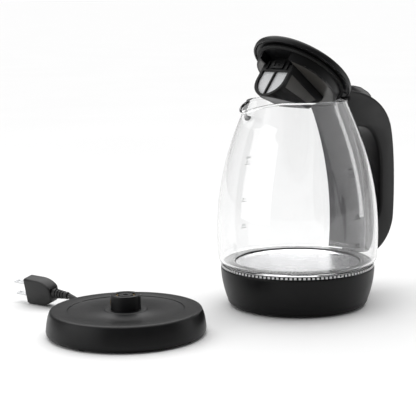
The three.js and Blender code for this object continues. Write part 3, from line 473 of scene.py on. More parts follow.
def cube(low, high):
    """A box between two corners in millimetres from the kettle's axis."""
    work = bmesh.new()
    bmesh.ops.create_cube(work, size=1)
    size = (Vector(high) - Vector(low)) * MM
    bmesh.ops.scale(work, verts=work.verts, vec=size)
    bmesh.ops.translate(work, verts=work.verts, vec=at_kettle(*((Vector(high) + Vector(low)) / 2)))
    return work


print("turned and flat shapes ready")

# %% outlines with soft corners
CORNER_SHARE = 0.45
NO_CORNER = 1e-3


def rounded(corners, radius, steps=4):
    """The same outline with each corner turned into a small arc."""
    out = []
    count = len(corners)
    for i, corner in enumerate(corners):
        here = Vector(corner)
        before = Vector(corners[i - 1]) - here
        after = Vector(corners[(i + 1) % count]) - here
        reach = min(radius, before.length * CORNER_SHARE, after.length * CORNER_SHARE)
        if reach < NO_CORNER:
            out.append(tuple(here))
            continue
        a = here + before.normalized() * reach
        b = here + after.normalized() * reach
        for k in range(steps + 1):
            t = k / steps
            out.append(tuple(a.lerp(here, t).lerp(here.lerp(b, t), t)))
    return out


def bezier(p0, p1, p2, p3, steps=10):
    """Points along a drawn curve, without its first point."""
    points = []
    for i in range(1, steps + 1):
        t = i / steps
        s = 1 - t
        points.append(tuple(
            s**3 * a + 3 * s * s * t * b + 3 * s * t * t * c + t**3 * d
            for a, b, c, d in zip(p0, p1, p2, p3)
        ))
    return points


print("outline helpers ready")

# %% cutting, trimming and opening


def cut(piece, cutter_work, how="DIFFERENCE"):
    """Cuts a solid out of a finished piece, or joins or crosses the two, and keeps plain mesh."""
    mesh = bpy.data.meshes.new("cutter")
    bmesh.ops.recalc_face_normals(cutter_work, faces=cutter_work.faces)
    cutter_work.to_mesh(mesh)
    cutter_work.free()
    cutter = put_in_scene("cutter", mesh)
    modifier = piece.modifiers.new("cut", "BOOLEAN")
    modifier.operation = how
    modifier.solver = "EXACT"
    modifier.object = cutter
    bpy.context.view_layer.update()
    done = bpy.data.meshes.new_from_object(piece.evaluated_get(bpy.context.evaluated_depsgraph_get()))
    piece.modifiers.remove(modifier)
    old = piece.data
    piece.data = done
    done.name = old.name + "_cut"
    bpy.data.meshes.remove(old)
    bpy.data.objects.remove(cutter)
    bpy.data.meshes.remove(mesh)
    return piece


def trim(work, place, facing):
    """Takes off what lies past a plane, and closes the cut."""
    geom = work.verts[:] + work.edges[:] + work.faces[:]
    bmesh.ops.bisect_plane(
        work, geom=geom, dist=ON_PLANE, plane_co=place, plane_no=facing, clear_outer=True,
    )
    bmesh.ops.holes_fill(work, edges=[e for e in work.edges if e.is_boundary], sides=0)


def open_lid(work):
    """Swings a shape drawn with the lid shut to the lid's open place."""
    bmesh.ops.rotate(work, verts=work.verts, cent=PIN, matrix=Matrix.Rotation(LID_OPEN, 3, "Y"))
    return work


print("cutting helpers ready")

# %% [markdown]
# ## The jug
# The jug is blown glass: a barrel that narrows to a neck, with a rolled rim and one drawn lip. The wall
# is spun as a closed profile, outside and inside together, so that it has a true thickness for the light
# to bend through. A thin shell with a Solidify modifier would give no say over the rolled rim.

# %% jug wall
RIM_Z = 206.3
NECK_BELOW_RIM = 3.3
NECK_R = 50
BELLY_R = 80.7
BELLY_Z = 74
HEEL_Z = 42.2
HEEL_DRAWN_IN = 2.1
HEEL_FILLET = 8
HEEL_TOP = HEEL_Z + HEEL_FILLET
FLOOR_R = 63
WALL = 2.6
ROLL_R = 1.75
ROLL_BELOW_RIM = 2.2


def jug_radius(z):
    """The outside radius of the glass at a height, before the lip is drawn."""
    if z <= BELLY_Z:
        t = (BELLY_Z - z) / (BELLY_Z - HEEL_Z)
        return BELLY_R - HEEL_DRAWN_IN * t * t
    t = min((z - BELLY_Z) / (RIM_Z - NECK_BELOW_RIM - BELLY_Z), 1)
    return NECK_R + (BELLY_R - NECK_R) * (1 - t * t)


def heel_point(reach, degrees):
    """A point on the round corner at the bottom, 0 degrees at the wall and 90 at the floor."""
    a = math.radians(degrees)
    return (jug_radius(HEEL_TOP) - HEEL_FILLET + reach * math.cos(a), HEEL_TOP - reach * math.sin(a))


def jug_profile():
    """Up the outside, over the rolled rim and down the inside."""
    heights = [HEEL_TOP + (RIM_Z - ROLL_BELOW_RIM - HEEL_TOP) * i / 40 for i in range(1, 41)]
    outer = [(FLOOR_R, HEEL_Z)] + [heel_point(HEEL_FILLET, 90 - 90 * k / 8) for k in range(1, 9)]
    outer += [(jug_radius(z), z) for z in heights]
    rim = []
    for k in range(9):
        a = math.radians(-20 + 220 * k / 8)
        rim.append((NECK_R - WALL / 2 + ROLL_R * math.cos(a), RIM_Z - ROLL_R + ROLL_R * math.sin(a)))
    inner = [(jug_radius(z) - WALL, z) for z in reversed(heights)]
    inner += [heel_point(HEEL_FILLET - WALL, 90 * k / 6) for k in range(7)]
    return outer + rim + inner + [(FLOOR_R, HEEL_Z + WALL)]


print("jug profile of", len(jug_profile()), "points, neck radius", jug_radius(RIM_Z))

# %% [markdown]
# The lip is drawn the way a glass worker draws it: the wall near the rim is pulled out on one side, more
# the nearer it is to the rim, and its edge is bent down. Moving the spun wall's own points keeps its
# thickness.

# %% drawn lip
SPOUT_REACH = 25.0
SPOUT_DROP = 6.0
SPOUT_HALF_ANGLE = 0.62
SPOUT_DEPTH = 30.0
SPOUT_BEAD = 3.6


def draw_lip(work):
    for vert in work.verts:
        x = vert.co.x - KETTLE.x
        y = vert.co.y - KETTLE.y
        z = vert.co.z / MM
        away = abs(math.atan2(y, -x)) / SPOUT_HALF_ANGLE
        rise = (z - (RIM_Z - SPOUT_DEPTH)) / (SPOUT_DEPTH - SPOUT_BEAD)
        if away >= 1 or rise <= 0:
            continue
        share = math.cos(away * math.pi / 2) ** 2 * min(rise, 1) ** 2
        vert.co.x -= SPOUT_REACH * share * MM
        vert.co.z -= SPOUT_DROP * share * share * MM
    return work


jug = build(
    "jug", lambda: draw_lip(spun(jug_profile(), KETTLE, 192)), jug_glass, "kettle", "glass", "glass_jug",
)
print("jug", size_of(jug))

# %% [markdown]
# ## The seal ring
# A milky silicone ring closes the joint between glass and housing. Its edge has small upright teeth that
# catch the light, and a black gasket with pale ribs lies inside it. The rings are spun. One tooth is a
# six-sided prism, copied round the axis, which keeps each to a few faces.

# %% rings and teeth
SEAL_LOW, SEAL_HIGH = 39.9, 41.9
TEETH = 110
BROKEN_EDGE = 0.2


def flat_ring(inner, outer, low, high):
    """A flat ring with its outer edges broken."""
    edge = min(BROKEN_EDGE, (high - low) / 3)
    outside = [(outer - edge, low), (outer, low + edge), (outer, high - edge), (outer - edge, high)]
    return spun([(inner, low)] + outside + [(inner, high)], KETTLE)


def teeth_round(radius, deep, wide, low, high):
    """A ring of small six-sided teeth, each a short upright prism."""
    work = bmesh.new()
    for i in range(TEETH):
        made = bmesh.ops.create_cone(
            work, cap_ends=True, segments=6, radius1=MM, radius2=MM, depth=(high - low) * MM,
        )["verts"]
        bmesh.ops.scale(work, verts=made, vec=(deep / 2, wide / 2, 1))
        bmesh.ops.translate(work, verts=made, vec=(radius * MM, 0, (low + high) / 2 * MM))
        turned = Matrix.Rotation(2 * math.pi * i / TEETH, 3, "Z")
        bmesh.ops.rotate(work, verts=made, cent=(0, 0, 0), matrix=turned)
    bmesh.ops.translate(work, verts=work.verts, vec=KETTLE)
    return work


seal = build(
    "seal_ring", lambda: flat_ring(66.6, 74.4, SEAL_LOW, SEAL_HIGH), milky,
    "kettle", "silicone", "jug_seal_ring",
)
build("seal_shadow_band", lambda: flat_ring(74.5, 75.4, SEAL_LOW, SEAL_HIGH), rubber, "kettle", "rubber")
build(
    "seal_teeth", lambda: teeth_round(76.2, 1.5, 2.6, SEAL_LOW, SEAL_HIGH), seal_light,
    "kettle", "silicone",
)
gasket = build(
    "inner_gasket", lambda: flat_ring(62.4, 66.4, SEAL_LOW, SEAL_HIGH - 0.2), rubber, "kettle", "rubber",
)
build(
    "gasket_teeth", lambda: teeth_round(64.4, 2.6, 1.7, SEAL_HIGH - 0.15, SEAL_HIGH + 0.1), seal_light,
    "kettle", "silicone",
)
print("seal ring", size_of(seal), "gasket", size_of(gasket))

# %% [markdown]
# ## Heater plate
# The plate is pressed from sheet, with a raised rim that grips the seal. It is one profile, given a
# thickness and spun.

# %% heater plate
PLATE_PROFILE = [
    (0, 41.4), (55, 41.4), (58, 42.3), (62, 42.3), (62, 43.5), (57.4, 43.6), (56.6, 43.1), (54, 42.6),
    (0, 42.6),
]
plate = build("plate", lambda: spun(PLATE_PROFILE, KETTLE), plate_steel, "kettle", "plate", "heater_plate")
print("plate", size_of(plate))

# %% [markdown]
# ## Housing
# The black housing under the jug flares a little toward the glass and turns under at the foot. A sine
# gives that slow flare, where a straight cone would look machined. A slot at the back lets the on/off
# lever through.

# %% housing
HOUSING_TOP = 39.5
HOUSING_LOW = 6.6
FOOT_R = 70.7
FOOT_FILLET = 5.2
HOUSING_FLARE = 6.5
HOUSING_WALL = 2.4
HOUSING_LIP = [(77.1, 38.9), (76.9, 39.3), (76.4, HOUSING_TOP), (74.8, HOUSING_TOP)]
LEVER_SLOT = (58.7, -11.6, 12.5), (83.2, 11.6, 23.5)


def housing_radius(z):
    t = (z - HOUSING_LOW) / (HOUSING_TOP - HOUSING_LOW)
    return FOOT_R + HOUSING_FLARE * math.sin(t * math.pi / 2) ** 0.9


def housing_profile():
    outside = []
    for k in range(9):
        a = math.radians(90 - 90 * k / 8)
        outside.append((FOOT_R - FOOT_FILLET * (1 - math.cos(a)), HOUSING_LOW - FOOT_FILLET * math.sin(a)))
    for k in range(1, 17):
        z = HOUSING_LOW + (HOUSING_TOP - 1.0 - HOUSING_LOW) * k / 16
        outside.append((housing_radius(z), z))
    inside = [(housing_radius(z) - HOUSING_WALL, z) for z in (36, 28, 20, 12, HOUSING_LOW)]
    return outside + HOUSING_LIP + inside + [(63.1, HOUSING_LOW - FOOT_FILLET)]


housing = build(
    "housing", lambda: spun(housing_profile(), KETTLE, 160), black_satin,
    "kettle", "black_satin", "base_housing",
)
cut(housing, cube(*LEVER_SLOT))
print("housing", size_of(housing))

# %% [markdown]
# ## The handle
# The handle is a bent loop of moulded plastic, thick enough to grip. Its side view is drawn once, outer
# curve and finger opening together, then given a width and well-rounded edges. A tube swept along a path
# would be round everywhere, and this one is flat-sided.

# %% handle
REACH = 137.0
HANDLE_W, HANDLE_EDGE = 26, 5.2
HANDLE_OFF_GLASS = 3.1
HANDLE_FOOT_Z = 38
FINGER_LOW, FINGER_TOP = 68, 173.5
BUTTON_POCKET = [(60, 202), (77.6, 202), (104, 193.5), (104, 230), (60, 230)]
POCKET_W = 18


def along_glass(heights):
    """Points that follow the glass, clear of the strap."""
    return [(jug_radius(z) + HANDLE_OFF_GLASS, z) for z in heights]


def handle_outline():
    r = REACH
    inner = r - 24
    low, top = FINGER_LOW, FINGER_TOP
    points = [(61.2, RIM_Z + 6.1)]
    points += bezier((61.2, RIM_Z + 6.1), (84, RIM_Z + 4), (r - 18, RIM_Z - 4), (r - 7, RIM_Z - 33), 14)
    points += bezier((r - 7, RIM_Z - 33), (r + 1, RIM_Z - 58), (r + 0.4, 96), (r - 2, 72), 14)
    points += bezier((r - 2, 72), (r - 6, 54), (r - 20, 41), (r - 36, HANDLE_FOOT_Z), 12)
    points += [(78.6, HANDLE_FOOT_Z)] + along_glass((44, 50, 56, 62, low)) + [(inner - 22, low)]
    points += bezier((inner - 22, low), (inner - 10, low), (inner, low + 8), (inner, low + 26), 8)
    points += [(inner, 110), (inner, top - 46)]
    points += bezier((inner, top - 46), (inner, top - 24), (inner - 10, top), (inner - 30, top), 10)
    return points + along_glass((top, 178, 183, 188, 193, 198, 202)) + [(61.2, RIM_Z - 2)]


handle = build(
    "handle", lambda: slab(handle_outline(), HANDLE_W, HANDLE_EDGE, segments=5), black_satin,
    "kettle", "black_satin", "handle_outer_shell", "handle_inner_cover",
)
cut(handle, slab(BUTTON_POCKET, POCKET_W, 0))
print("handle", size_of(handle))

# %% [markdown]
# ## Strap up the glass
# A thin strip between handle and jug follows the glass and has straight edges. It is a slice of a spun
# shell, trimmed by two upright planes, so it curves with the jug both ways and still keeps one width.

# %% strap
STRAP_HALF = 25.5
STRAP_LOW, STRAP_TOP = 43.5, 202.3
STRAP_OFF_GLASS, STRAP_OUT = 0.3, 2.4
STRAP_TURN = math.radians(37)
STRAP_STEPS = 40


def strap():
    work = bmesh.new()
    heights = [STRAP_LOW + (STRAP_TOP - STRAP_LOW) * i / STRAP_STEPS for i in range(STRAP_STEPS + 1)]
    inside = [(jug_radius(z) + STRAP_OFF_GLASS, z) for z in heights]
    outside = [(jug_radius(z) + STRAP_OUT, z) for z in reversed(heights)]
    rail = [work.verts.new(KETTLE + Vector((r * MM, 0, z * MM))) for r, z in inside + outside]
    face = work.faces.new(rail)
    bmesh.ops.rotate(work, verts=work.verts, cent=KETTLE, matrix=Matrix.Rotation(-STRAP_TURN, 3, "Z"))
    bmesh.ops.spin(work, geom=[face], cent=KETTLE, axis=(0, 0, 1), angle=2 * STRAP_TURN, steps=28)
    for side in (-1, 1):
        trim(work, at_kettle(0, side * STRAP_HALF, 0), (0, side, 0))
    return work


# The strap's grey is painted glare from the glass in front of it; its slot stays black satin.
strap_piece = build("strap", strap, strap_painted_glare, "kettle", "black_satin", "handle_strap")
print("strap", size_of(strap_piece))

# %% [markdown]
# ## Release button
# The release button is a glossy cap let into the top of the handle, with a thumb slope toward the back.
# It is a side view with soft corners, given a width a little under its pocket's.

# %% release button
BUTTON_W, BUTTON_EDGE = 17, 1.6
button_outline = rounded([
    (61.2, RIM_Z - 0.4), (78, RIM_Z - 0.4), (103, RIM_Z - 9), (103, RIM_Z - 2.6),
    (98, RIM_Z + 1.8), (86, RIM_Z + 7.6), (74, RIM_Z + 10), (61.2, RIM_Z + 9.6),
], 2.5)
button = build(
    "button", lambda: slab(button_outline, BUTTON_W, BUTTON_EDGE), black_gloss,
    "button", "black_gloss", "release_button",
)
print("button", size_of(button))

# %% [markdown]
# ## The lid
# The lid is a shallow cap with a round top edge, trimmed straight at the back where it meets its hinge.
# All of the lid's pieces are drawn shut, where their sizes are easy to read, and then swung open about
# the pin.

# %% lid cover and hinge barrel
LID_Z = RIM_Z + 0.5
LID_TOP = LID_Z + 7.2
LID_BACK = 39.6
BARREL_R, BARREL_W = 4.6, 33
LID_PROFILE = [
    (0, LID_TOP - 1.0), (36, LID_TOP - 1.4), (46.5, LID_TOP - 2.6), (50.1, LID_TOP - 4.6),
    (50.3, LID_Z), (51.7, LID_Z), (52.3, LID_Z + 0.5), (52.5, LID_Z + 3.4), (52.1, LID_Z + 4.9),
    (51.0, LID_Z + 6.2), (49.2, LID_Z + 7.0), (46.6, LID_Z + 7.4), (36, LID_TOP + 0.9),
    (18, LID_TOP + 1.3), (0, LID_TOP + 1.4),
]


def lid_cover():
    work = spun(LID_PROFILE, KETTLE)
    trim(work, at_kettle(LID_BACK, 0, 0), (1, 0, 0))
    return open_lid(work)


def lid_barrel():
    work = bmesh.new()
    bmesh.ops.create_cone(
        work, cap_ends=True, segments=40, radius1=BARREL_R * MM, radius2=BARREL_R * MM, depth=BARREL_W * MM,
    )
    bmesh.ops.rotate(work, verts=work.verts, cent=(0, 0, 0), matrix=Matrix.Rotation(math.pi / 2, 3, "X"))
    bmesh.ops.translate(work, verts=work.verts, vec=PIN)
    return work


lid = build("lid", lid_cover, black_satin, "lid", "black_satin", "lid_cover")
build("lid_barrel", lid_barrel, black_satin, "lid", "black_satin")
print("lid", size_of(lid))

# %% [markdown]
# ## Lid skirt
# Under the lid hangs a drum that drops into the neck. It has a window toward the lip, so that water can
# pour with the lid shut, and a passage over the filter. The drum is spun whole and the openings are cut
# with boxes, as they would be in the mould. A smoked sheet closes its floor.

# %% lid skirt
SKIRT_Z = LID_Z - 12
SKIRT_R = 43
SKIRT_INSIDE = 41
FLANGE_R = 49.2
FLOOR_SHEET_R = 40.6
SKIRT_PROFILE = [
    (0, SKIRT_Z), (SKIRT_R - 0.8, SKIRT_Z), (SKIRT_R - 0.2, SKIRT_Z + 0.2), (SKIRT_R, SKIRT_Z + 0.8),
    (SKIRT_R, LID_Z + 0.6), (FLANGE_R, LID_Z + 0.6), (FLANGE_R, LID_Z + 2.2), (0, LID_Z + 2.2),
    (0, LID_Z + 0.6), (SKIRT_INSIDE, LID_Z + 0.6), (SKIRT_INSIDE, SKIRT_Z + 1.8), (0, SKIRT_Z + 1.8),
]
SHEET_PROFILE = [
    (0, SKIRT_Z - 0.3), (FLOOR_SHEET_R, SKIRT_Z - 0.3), (FLOOR_SHEET_R, SKIRT_Z - 0.05),
    (0, SKIRT_Z - 0.05),
]
POURING_WINDOW = (-50, -19, SKIRT_Z - 1), (-26.4, 19, LID_Z - 3.2)
FILTER_PASSAGE = (-26.5, -15, SKIRT_Z - 1), (17, 15, SKIRT_Z + 3)
BEHIND_FLANGE = (32.2, -80, LID_Z - 0.4), (80, 80, LID_Z + 20)
ROUND_FILTER = (-50, -20.4, SKIRT_Z - 2), (24.6, 20.4, SKIRT_Z + 2)

skirt = build(
    "lid_skirt_ring", lambda: open_lid(spun(SKIRT_PROFILE, KETTLE)), black_satin,
    "lid", "black_matt", "lid_skirt",
)
for opening in (POURING_WINDOW, FILTER_PASSAGE, BEHIND_FLANGE):
    cut(skirt, open_lid(cube(*opening)))
floor_sheet = build(
    "skirt_floor", lambda: open_lid(spun(SHEET_PROFILE, KETTLE, 96)), smoke, "lid", "black_matt",
)
cut(floor_sheet, open_lid(cube(*ROUND_FILTER)))
print("skirt", size_of(skirt))

# %% [markdown]
# ## The filter
# The pouring filter is a D-shaped scoop clipped under the skirt. It is drawn as two solids that cross, a
# side view and a front view, which is how a moulder would see it. A smaller pair hollows it, and two
# panes are cut through its front for the woven mesh.

# %% filter shapes
FILTER_TOP = SKIRT_Z - 0.4
FILTER_FRONT = -29.5
FILTER_DEPTH = 37.4
FILTER_HALF = 20


def scoop_side(shrink):
    """The side view in (x, z), deepest at the front; shrink draws the hollow inside it."""
    front, top = FILTER_FRONT + shrink, FILTER_TOP + (1 if shrink else 0)
    low = FILTER_TOP + shrink * 1.2
    return [
        (front, top), (front, low - FILTER_DEPTH), (-5, low - 27), (14 - shrink * 0.6, low - 21),
        (24 - shrink * 1.3, FILTER_TOP - 4 + shrink * 0.5), (24 - shrink * 1.3, top),
    ]


def scoop_front(shrink, top):
    """The D in (y, z) millimetres, wide at the top and round at the bottom."""
    w = FILTER_HALF - shrink
    low = FILTER_TOP - FILTER_DEPTH
    right_half = bezier((-w, low + 20), (-w, low + 6 + shrink), (-6, low + shrink), (0, low + shrink), 14)
    left_half = bezier((0, low + shrink), (6, low + shrink), (w, low + 6 + shrink), (w, low + 20), 14)
    return [(-w, top), (-w, low + 20)] + right_half + left_half + [(w, top)]


def front_prism(outline, x0, x1):
    """A front view in (y, z) given a depth along X."""
    work = bmesh.new()
    face = work.faces.new([work.verts.new(at_kettle(x0, y, z)) for y, z in outline])
    grown = bmesh.ops.extrude_face_region(work, geom=[face])
    far = [item for item in grown["geom"] if isinstance(item, bmesh.types.BMVert)]
    bmesh.ops.translate(work, verts=far, vec=((x1 - x0) * MM, 0, 0))
    bmesh.ops.recalc_face_normals(work, faces=work.faces)
    return work


def cross(first, second):
    """The solid that two shapes share, as a bmesh."""
    mesh = bpy.data.meshes.new("crossing")
    first.to_mesh(mesh)
    first.free()
    holder = put_in_scene("crossing", mesh)
    cut(holder, second, "INTERSECT")
    shared = bmesh.new()
    shared.from_mesh(holder.data)
    old = holder.data
    bpy.data.objects.remove(holder)
    bpy.data.meshes.remove(old)
    return shared


print("filter outline of", len(scoop_front(0, FILTER_TOP)), "points")

# %% filter scoop
FILTER_WALL = 2
PANE_BORDER = 2.9
PAST = 60


def scoop():
    side = slab(scoop_side(0), 2 * FILTER_HALF, 0)
    return open_lid(cross(side, front_prism(scoop_front(0, FILTER_TOP + 2), -PAST, PAST)))


filter_scoop = build(
    "filter_scoop", scoop, black_satin, "filter", "black_matt", "filter_frame", smooth=30,
)
hollow = cross(
    slab(scoop_side(FILTER_WALL), PAST, 0),
    front_prism(scoop_front(FILTER_WALL, FILTER_TOP + 3), -PAST, PAST),
)
below_rim = cube((-PAST, -PAST, 100), (PAST, PAST, FILTER_TOP - 2.2))
cut(filter_scoop, open_lid(cross(hollow, below_rim)))
cut(filter_scoop, open_lid(cube((-26.5, -15, FILTER_TOP - 4), (17, 15, FILTER_TOP + 2))))
for low_y, high_y in ((-20, -0.8), (0.8, 20)):
    opening = front_prism(scoop_front(PANE_BORDER, FILTER_TOP - 7.8), -40, -24.5)
    pane = cross(opening, cube((-PAST, low_y, 100), (0, high_y, 240)))
    cut(filter_scoop, open_lid(pane))
print("filter scoop", size_of(filter_scoop))

# %% [markdown]
# Each side of the scoop has a shallow recess with a smoked panel at the bottom of it, a little smaller
# than the recess so that a thin edge shows all round.

# %% filter side panels
RECESS = [
    (-26, FILTER_TOP - 8), (-26, FILTER_TOP - 24), (10, FILTER_TOP - 18), (17, FILTER_TOP - 8),
]
PANEL = [
    (-25.4, FILTER_TOP - 8.5), (-25.4, FILTER_TOP - 23.2), (9.8, FILTER_TOP - 17.4), (16, FILTER_TOP - 8.5),
]
for side, label in ((-1, "near"), (1, "far")):
    cut(filter_scoop, open_lid(slab(RECESS, 6, 0, side * 22.4)))
    sheet = slab(PANEL, 0.3, 0, side * 19.6)
    build("filter_panel_" + label, lambda work=sheet: open_lid(work), smoke, "filter", "black_matt")
print("filter panels let into", size_of(filter_scoop))

# %% [markdown]
# The filter is pulled out by a clip on its front: a wall that stands up past the scoop, a tab with a
# sunk face, a small knob for a fingertip and a rib at each side. Each is a block with round corners,
# drawn from its corners.

# %% filter clip


def clip_part(name, low, high, corner):
    """A small block on the scoop's front, placed by (out from the front, y, up from the scoop's top)."""
    (x0, y0, z0), (x1, y1, z1) = low, high
    z0, z1 = z0 + FILTER_TOP, z1 + FILTER_TOP
    outline = rounded([(y0, z0), (y1, z0), (y1, z1), (y0, z1)], corner)
    solid = front_prism(outline, x0 + FILTER_FRONT, x1 + FILTER_FRONT)
    return build(name, lambda: open_lid(solid), black_satin, "filter", "black_matt")


clip = clip_part("filter_clip_wall", (0, -15, -1), (2, 15, 4), 0.5)
tab = clip_part("filter_clip_tab", (-1.4, -8, -5), (0.1, 8, 4), 1.0)
sunk_face = cube(
    (FILTER_FRONT - 3, -4.6, FILTER_TOP - 3), (FILTER_FRONT - 0.6, 4.6, FILTER_TOP + 2.4),
)
cut(tab, open_lid(sunk_face))
clip_part("filter_clip_knob", (-1.2, -1.6, -3.4), (-0.5, 1.6, 0.6), 0.8)
for side, label in ((-1, "near"), (1, "far")):
    near_y, far_y = sorted((side * 12, side * 14.5))
    clip_part("filter_clip_rib_" + label, (-1.2, near_y, -5.6), (0.1, far_y, 3), 0.6)
print("clip", size_of(clip))

# %% [markdown]
# ## Level marks
# The litre marks are printed on the outside of the glass, one column on each side. Each one is a text
# object made mesh, then laid round the jug: its width becomes an angle and its height stays a height, so
# the print follows the glass.

# %% printed levels
MARKS = [("MAX", 141.5), ("1.7L", 137.0), ("1.0L", 97.0), ("0.5L", 69.0)]
PRINT_SIZE = 3.4
PRINT_LIFT = 0.12
BAR_SIZE = (8, 0.45, 0.06)
BAR_BELOW = 1.5


def text_mesh(word):
    """A word as plain mesh, lying flat at the origin."""
    data = bpy.data.curves.new("mark", "FONT")
    data.body = word
    data.size = PRINT_SIZE * MM
    data.align_x = "CENTER"
    data.extrude = 0.03 * MM
    data.resolution_u = 3
    thing = put_in_scene("mark", data)
    bpy.context.view_layer.update()
    mesh = bpy.data.meshes.new_from_object(thing.evaluated_get(bpy.context.evaluated_depsgraph_get()))
    bpy.data.objects.remove(thing)
    bpy.data.curves.remove(data)
    return mesh


def lay_round(verts, angle, z):
    """Wraps flat print round the glass at a height, facing outward."""
    for vert in verts:
        height = z + vert.co.y / MM
        reach = jug_radius(height) + PRINT_LIFT + vert.co.z / MM
        turned_by = angle + vert.co.x / MM / reach
        vert.co = at_kettle(reach * math.cos(turned_by), reach * math.sin(turned_by), height)


def print_word(work, word, angle, z):
    before = len(work.verts)
    mesh = text_mesh(word)
    work.from_mesh(mesh)
    bpy.data.meshes.remove(mesh)
    work.verts.ensure_lookup_table()
    lay_round(work.verts[before:], angle, z)


def print_bar(work, angle, z):
    before = len(work.verts)
    bar = bmesh.ops.create_cube(work, size=1)["verts"]
    bmesh.ops.scale(work, verts=bar, vec=Vector(BAR_SIZE) * MM)
    edges = {e for v in bar for e in v.link_edges}
    long_edges = [e for e in edges if abs(e.verts[0].co.x - e.verts[1].co.x) > MM]
    bmesh.ops.subdivide_edges(work, edges=long_edges, cuts=7)
    work.verts.ensure_lookup_table()
    lay_round(work.verts[before:], angle, z)


def level_marks():
    work = bmesh.new()
    for side in (-1, 1):
        angle = side * math.pi / 2
        for word, z in MARKS:
            print_word(work, word, angle, z)
            if word != "MAX":
                print_bar(work, angle, z - BAR_BELOW)
    return work


marks = build("level_marks", level_marks, mark_grey, "kettle", "black_matt")
print("level marks", len(marks.data.polygons), "faces")

# %% [markdown]
# ## The power base
# A round low base with a sloping wall, a soft shoulder, a shallow dish and, in the middle, the round post
# that the kettle drops on to. All of it is turned, so one closed profile is spun. The notch that lets
# the lead out is cut last.

# %% base shell
BASE_WALL = [
    (71.8, 1.4), (73.2, 2.1), (74.1, 3.6), (74.4, 5.4), (74.2, 8), (73.4, 14), (72.4, 18.6), (71.4, 21.2),
]
BASE_SHOULDER = [(70.9, 22.6), (70.2, 23.5), (68.9, 24.0), (67, 24.1), (64, 24.05)]
BASE_DISH = [
    (54.9, 23.9), (54.4, 23.75), (54.0, 23.1), (53.4, 22.9), (20.6, 22.9), (20.2, 23.2), (19.6, 23.8),
    (18.8, 23.9),
]
BASE_INSIDE = [
    (14.3, 23.9), (14.3, 20.5), (54, 20.5), (65.8, 21.3), (67.8, 20.3), (71, 14), (71.4, 1.4),
]
NOTCH_SIZE = (48, 9.6, 13.4)
NOTCH_AT = (34.6, 64.2, 4.7)
NOTCH_TURN = math.radians(113.5)


def notch():
    work = bmesh.new()
    bmesh.ops.create_cube(work, size=1)
    bmesh.ops.scale(work, verts=work.verts, vec=Vector(NOTCH_SIZE) * MM)
    bmesh.ops.rotate(work, verts=work.verts, cent=(0, 0, 0), matrix=Matrix.Rotation(NOTCH_TURN, 3, "Z"))
    bmesh.ops.translate(work, verts=work.verts, vec=at_base(*NOTCH_AT))
    return work


base = build(
    "base_shell", lambda: spun(BASE_WALL + BASE_SHOULDER + BASE_DISH + BASE_INSIDE, BASE, 160),
    black_satin, "power_base", "black_satin", "base_top_shell",
)
cut(base, notch())
print("base", size_of(base))

# %% [markdown]
# The connector post is round so that the kettle can be set down at any angle. Its crown has a bore for
# the pin in the middle and a groove for the ring contact round it.

# %% connector post
POST_TOP = 37.5
POST_CROWN = [
    (2.2, POST_TOP - 9), (2.2, POST_TOP - 1), (2.7, POST_TOP - 0.3), (3.4, POST_TOP), (6.6, POST_TOP),
    (7.0, POST_TOP - 0.3), (7.0, POST_TOP - 2.4), (9.2, POST_TOP - 2.4), (9.2, POST_TOP - 0.3),
    (9.6, POST_TOP), (12.6, POST_TOP), (13.5, POST_TOP - 0.35), (13.9, POST_TOP - 1.2),
]
POST_LOWER = [
    (14, POST_TOP - 2), (14, 20.1), (20.9, 20.1), (20.9, 18.1), (10, 18.1), (10, 15.5), (2.2, 15.5),
]
post = build(
    "post", lambda: spun(POST_CROWN + POST_LOWER, BASE, 96), black_satin,
    "power_base", "black_satin", "connector_post",
)
print("post", size_of(post))

# %% [markdown]
# ## The plug
# The plug is a moulded block with soft corners and a ribbed boot. It lies leaning on its edge, so it is
# drawn lying straight, with its face at zero and its blades along +X, and then turned into place.

# %% plug body and boot
PLUG_AT = (7.9, 168.2, 14.86)
PLUG_YAW, PLUG_LEAN = math.radians(99), math.radians(-12)
PLUG_PLACE = (
    Matrix.Translation(at_base(*PLUG_AT))
    @ Matrix.Rotation(PLUG_YAW, 4, "Z")
    @ Matrix.Rotation(PLUG_LEAN, 4, "X")
)
PLUG_LONG, PLUG_T, PLUG_EDGE = 36, 14, 2.8
PLUG_HALF_W = 13.5
BOOT_RIBS, RIB_PITCH = 4, 3.4


def lay_plug(work):
    """Takes a shape drawn at the kettle's axis to the plug's place."""
    bmesh.ops.translate(work, verts=work.verts, vec=-KETTLE)
    bmesh.ops.transform(work, matrix=PLUG_PLACE, verts=work.verts)
    return work


def plug_body():
    w, back = PLUG_HALF_W, -PLUG_LONG
    outline = [(0, -w + 1.2), (-1.2, -w), (-19, -w)]
    outline += bezier((-19, -w), (-29, -w), (back, -w + 6), (back, -5.5), 8)
    outline += [(back, 5.5)]
    outline += bezier((back, 5.5), (back, w - 6), (-29, w), (-19, w), 8)
    outline += [(-1.2, w), (0, w - 1.2)]
    return lay_plug(slab(outline, PLUG_T, PLUG_EDGE))


def plug_boot():
    profile = [(0, 0.3), (5, 0.3)]
    for i in range(BOOT_RIBS):
        z = 2.2 + i * RIB_PITCH
        r = 4.9 - i * 0.32
        profile += [(r, z), (r, z + 1.7), (r - 0.9, z + 1.9), (r - 0.9, z + 3.2)]
    profile += [(3.7, 16), (3.7, 18.8), (3.3, 19.7), (0, 19.7)]
    work = spun(profile, KETTLE, 40)
    bmesh.ops.rotate(work, verts=work.verts, cent=KETTLE, matrix=Matrix.Rotation(-math.pi / 2, 3, "Y"))
    bmesh.ops.translate(work, verts=work.verts, vec=(-PLUG_LONG * MM, 0, 0))
    return lay_plug(work)


plug = build("plug", plug_body, cord_black, "power_base", "black_matt", "plug_body")
boot = build("plug_boot", plug_boot, cord_black, "power_base", "black_matt", "plug_strain_relief")
print("plug", size_of(plug))

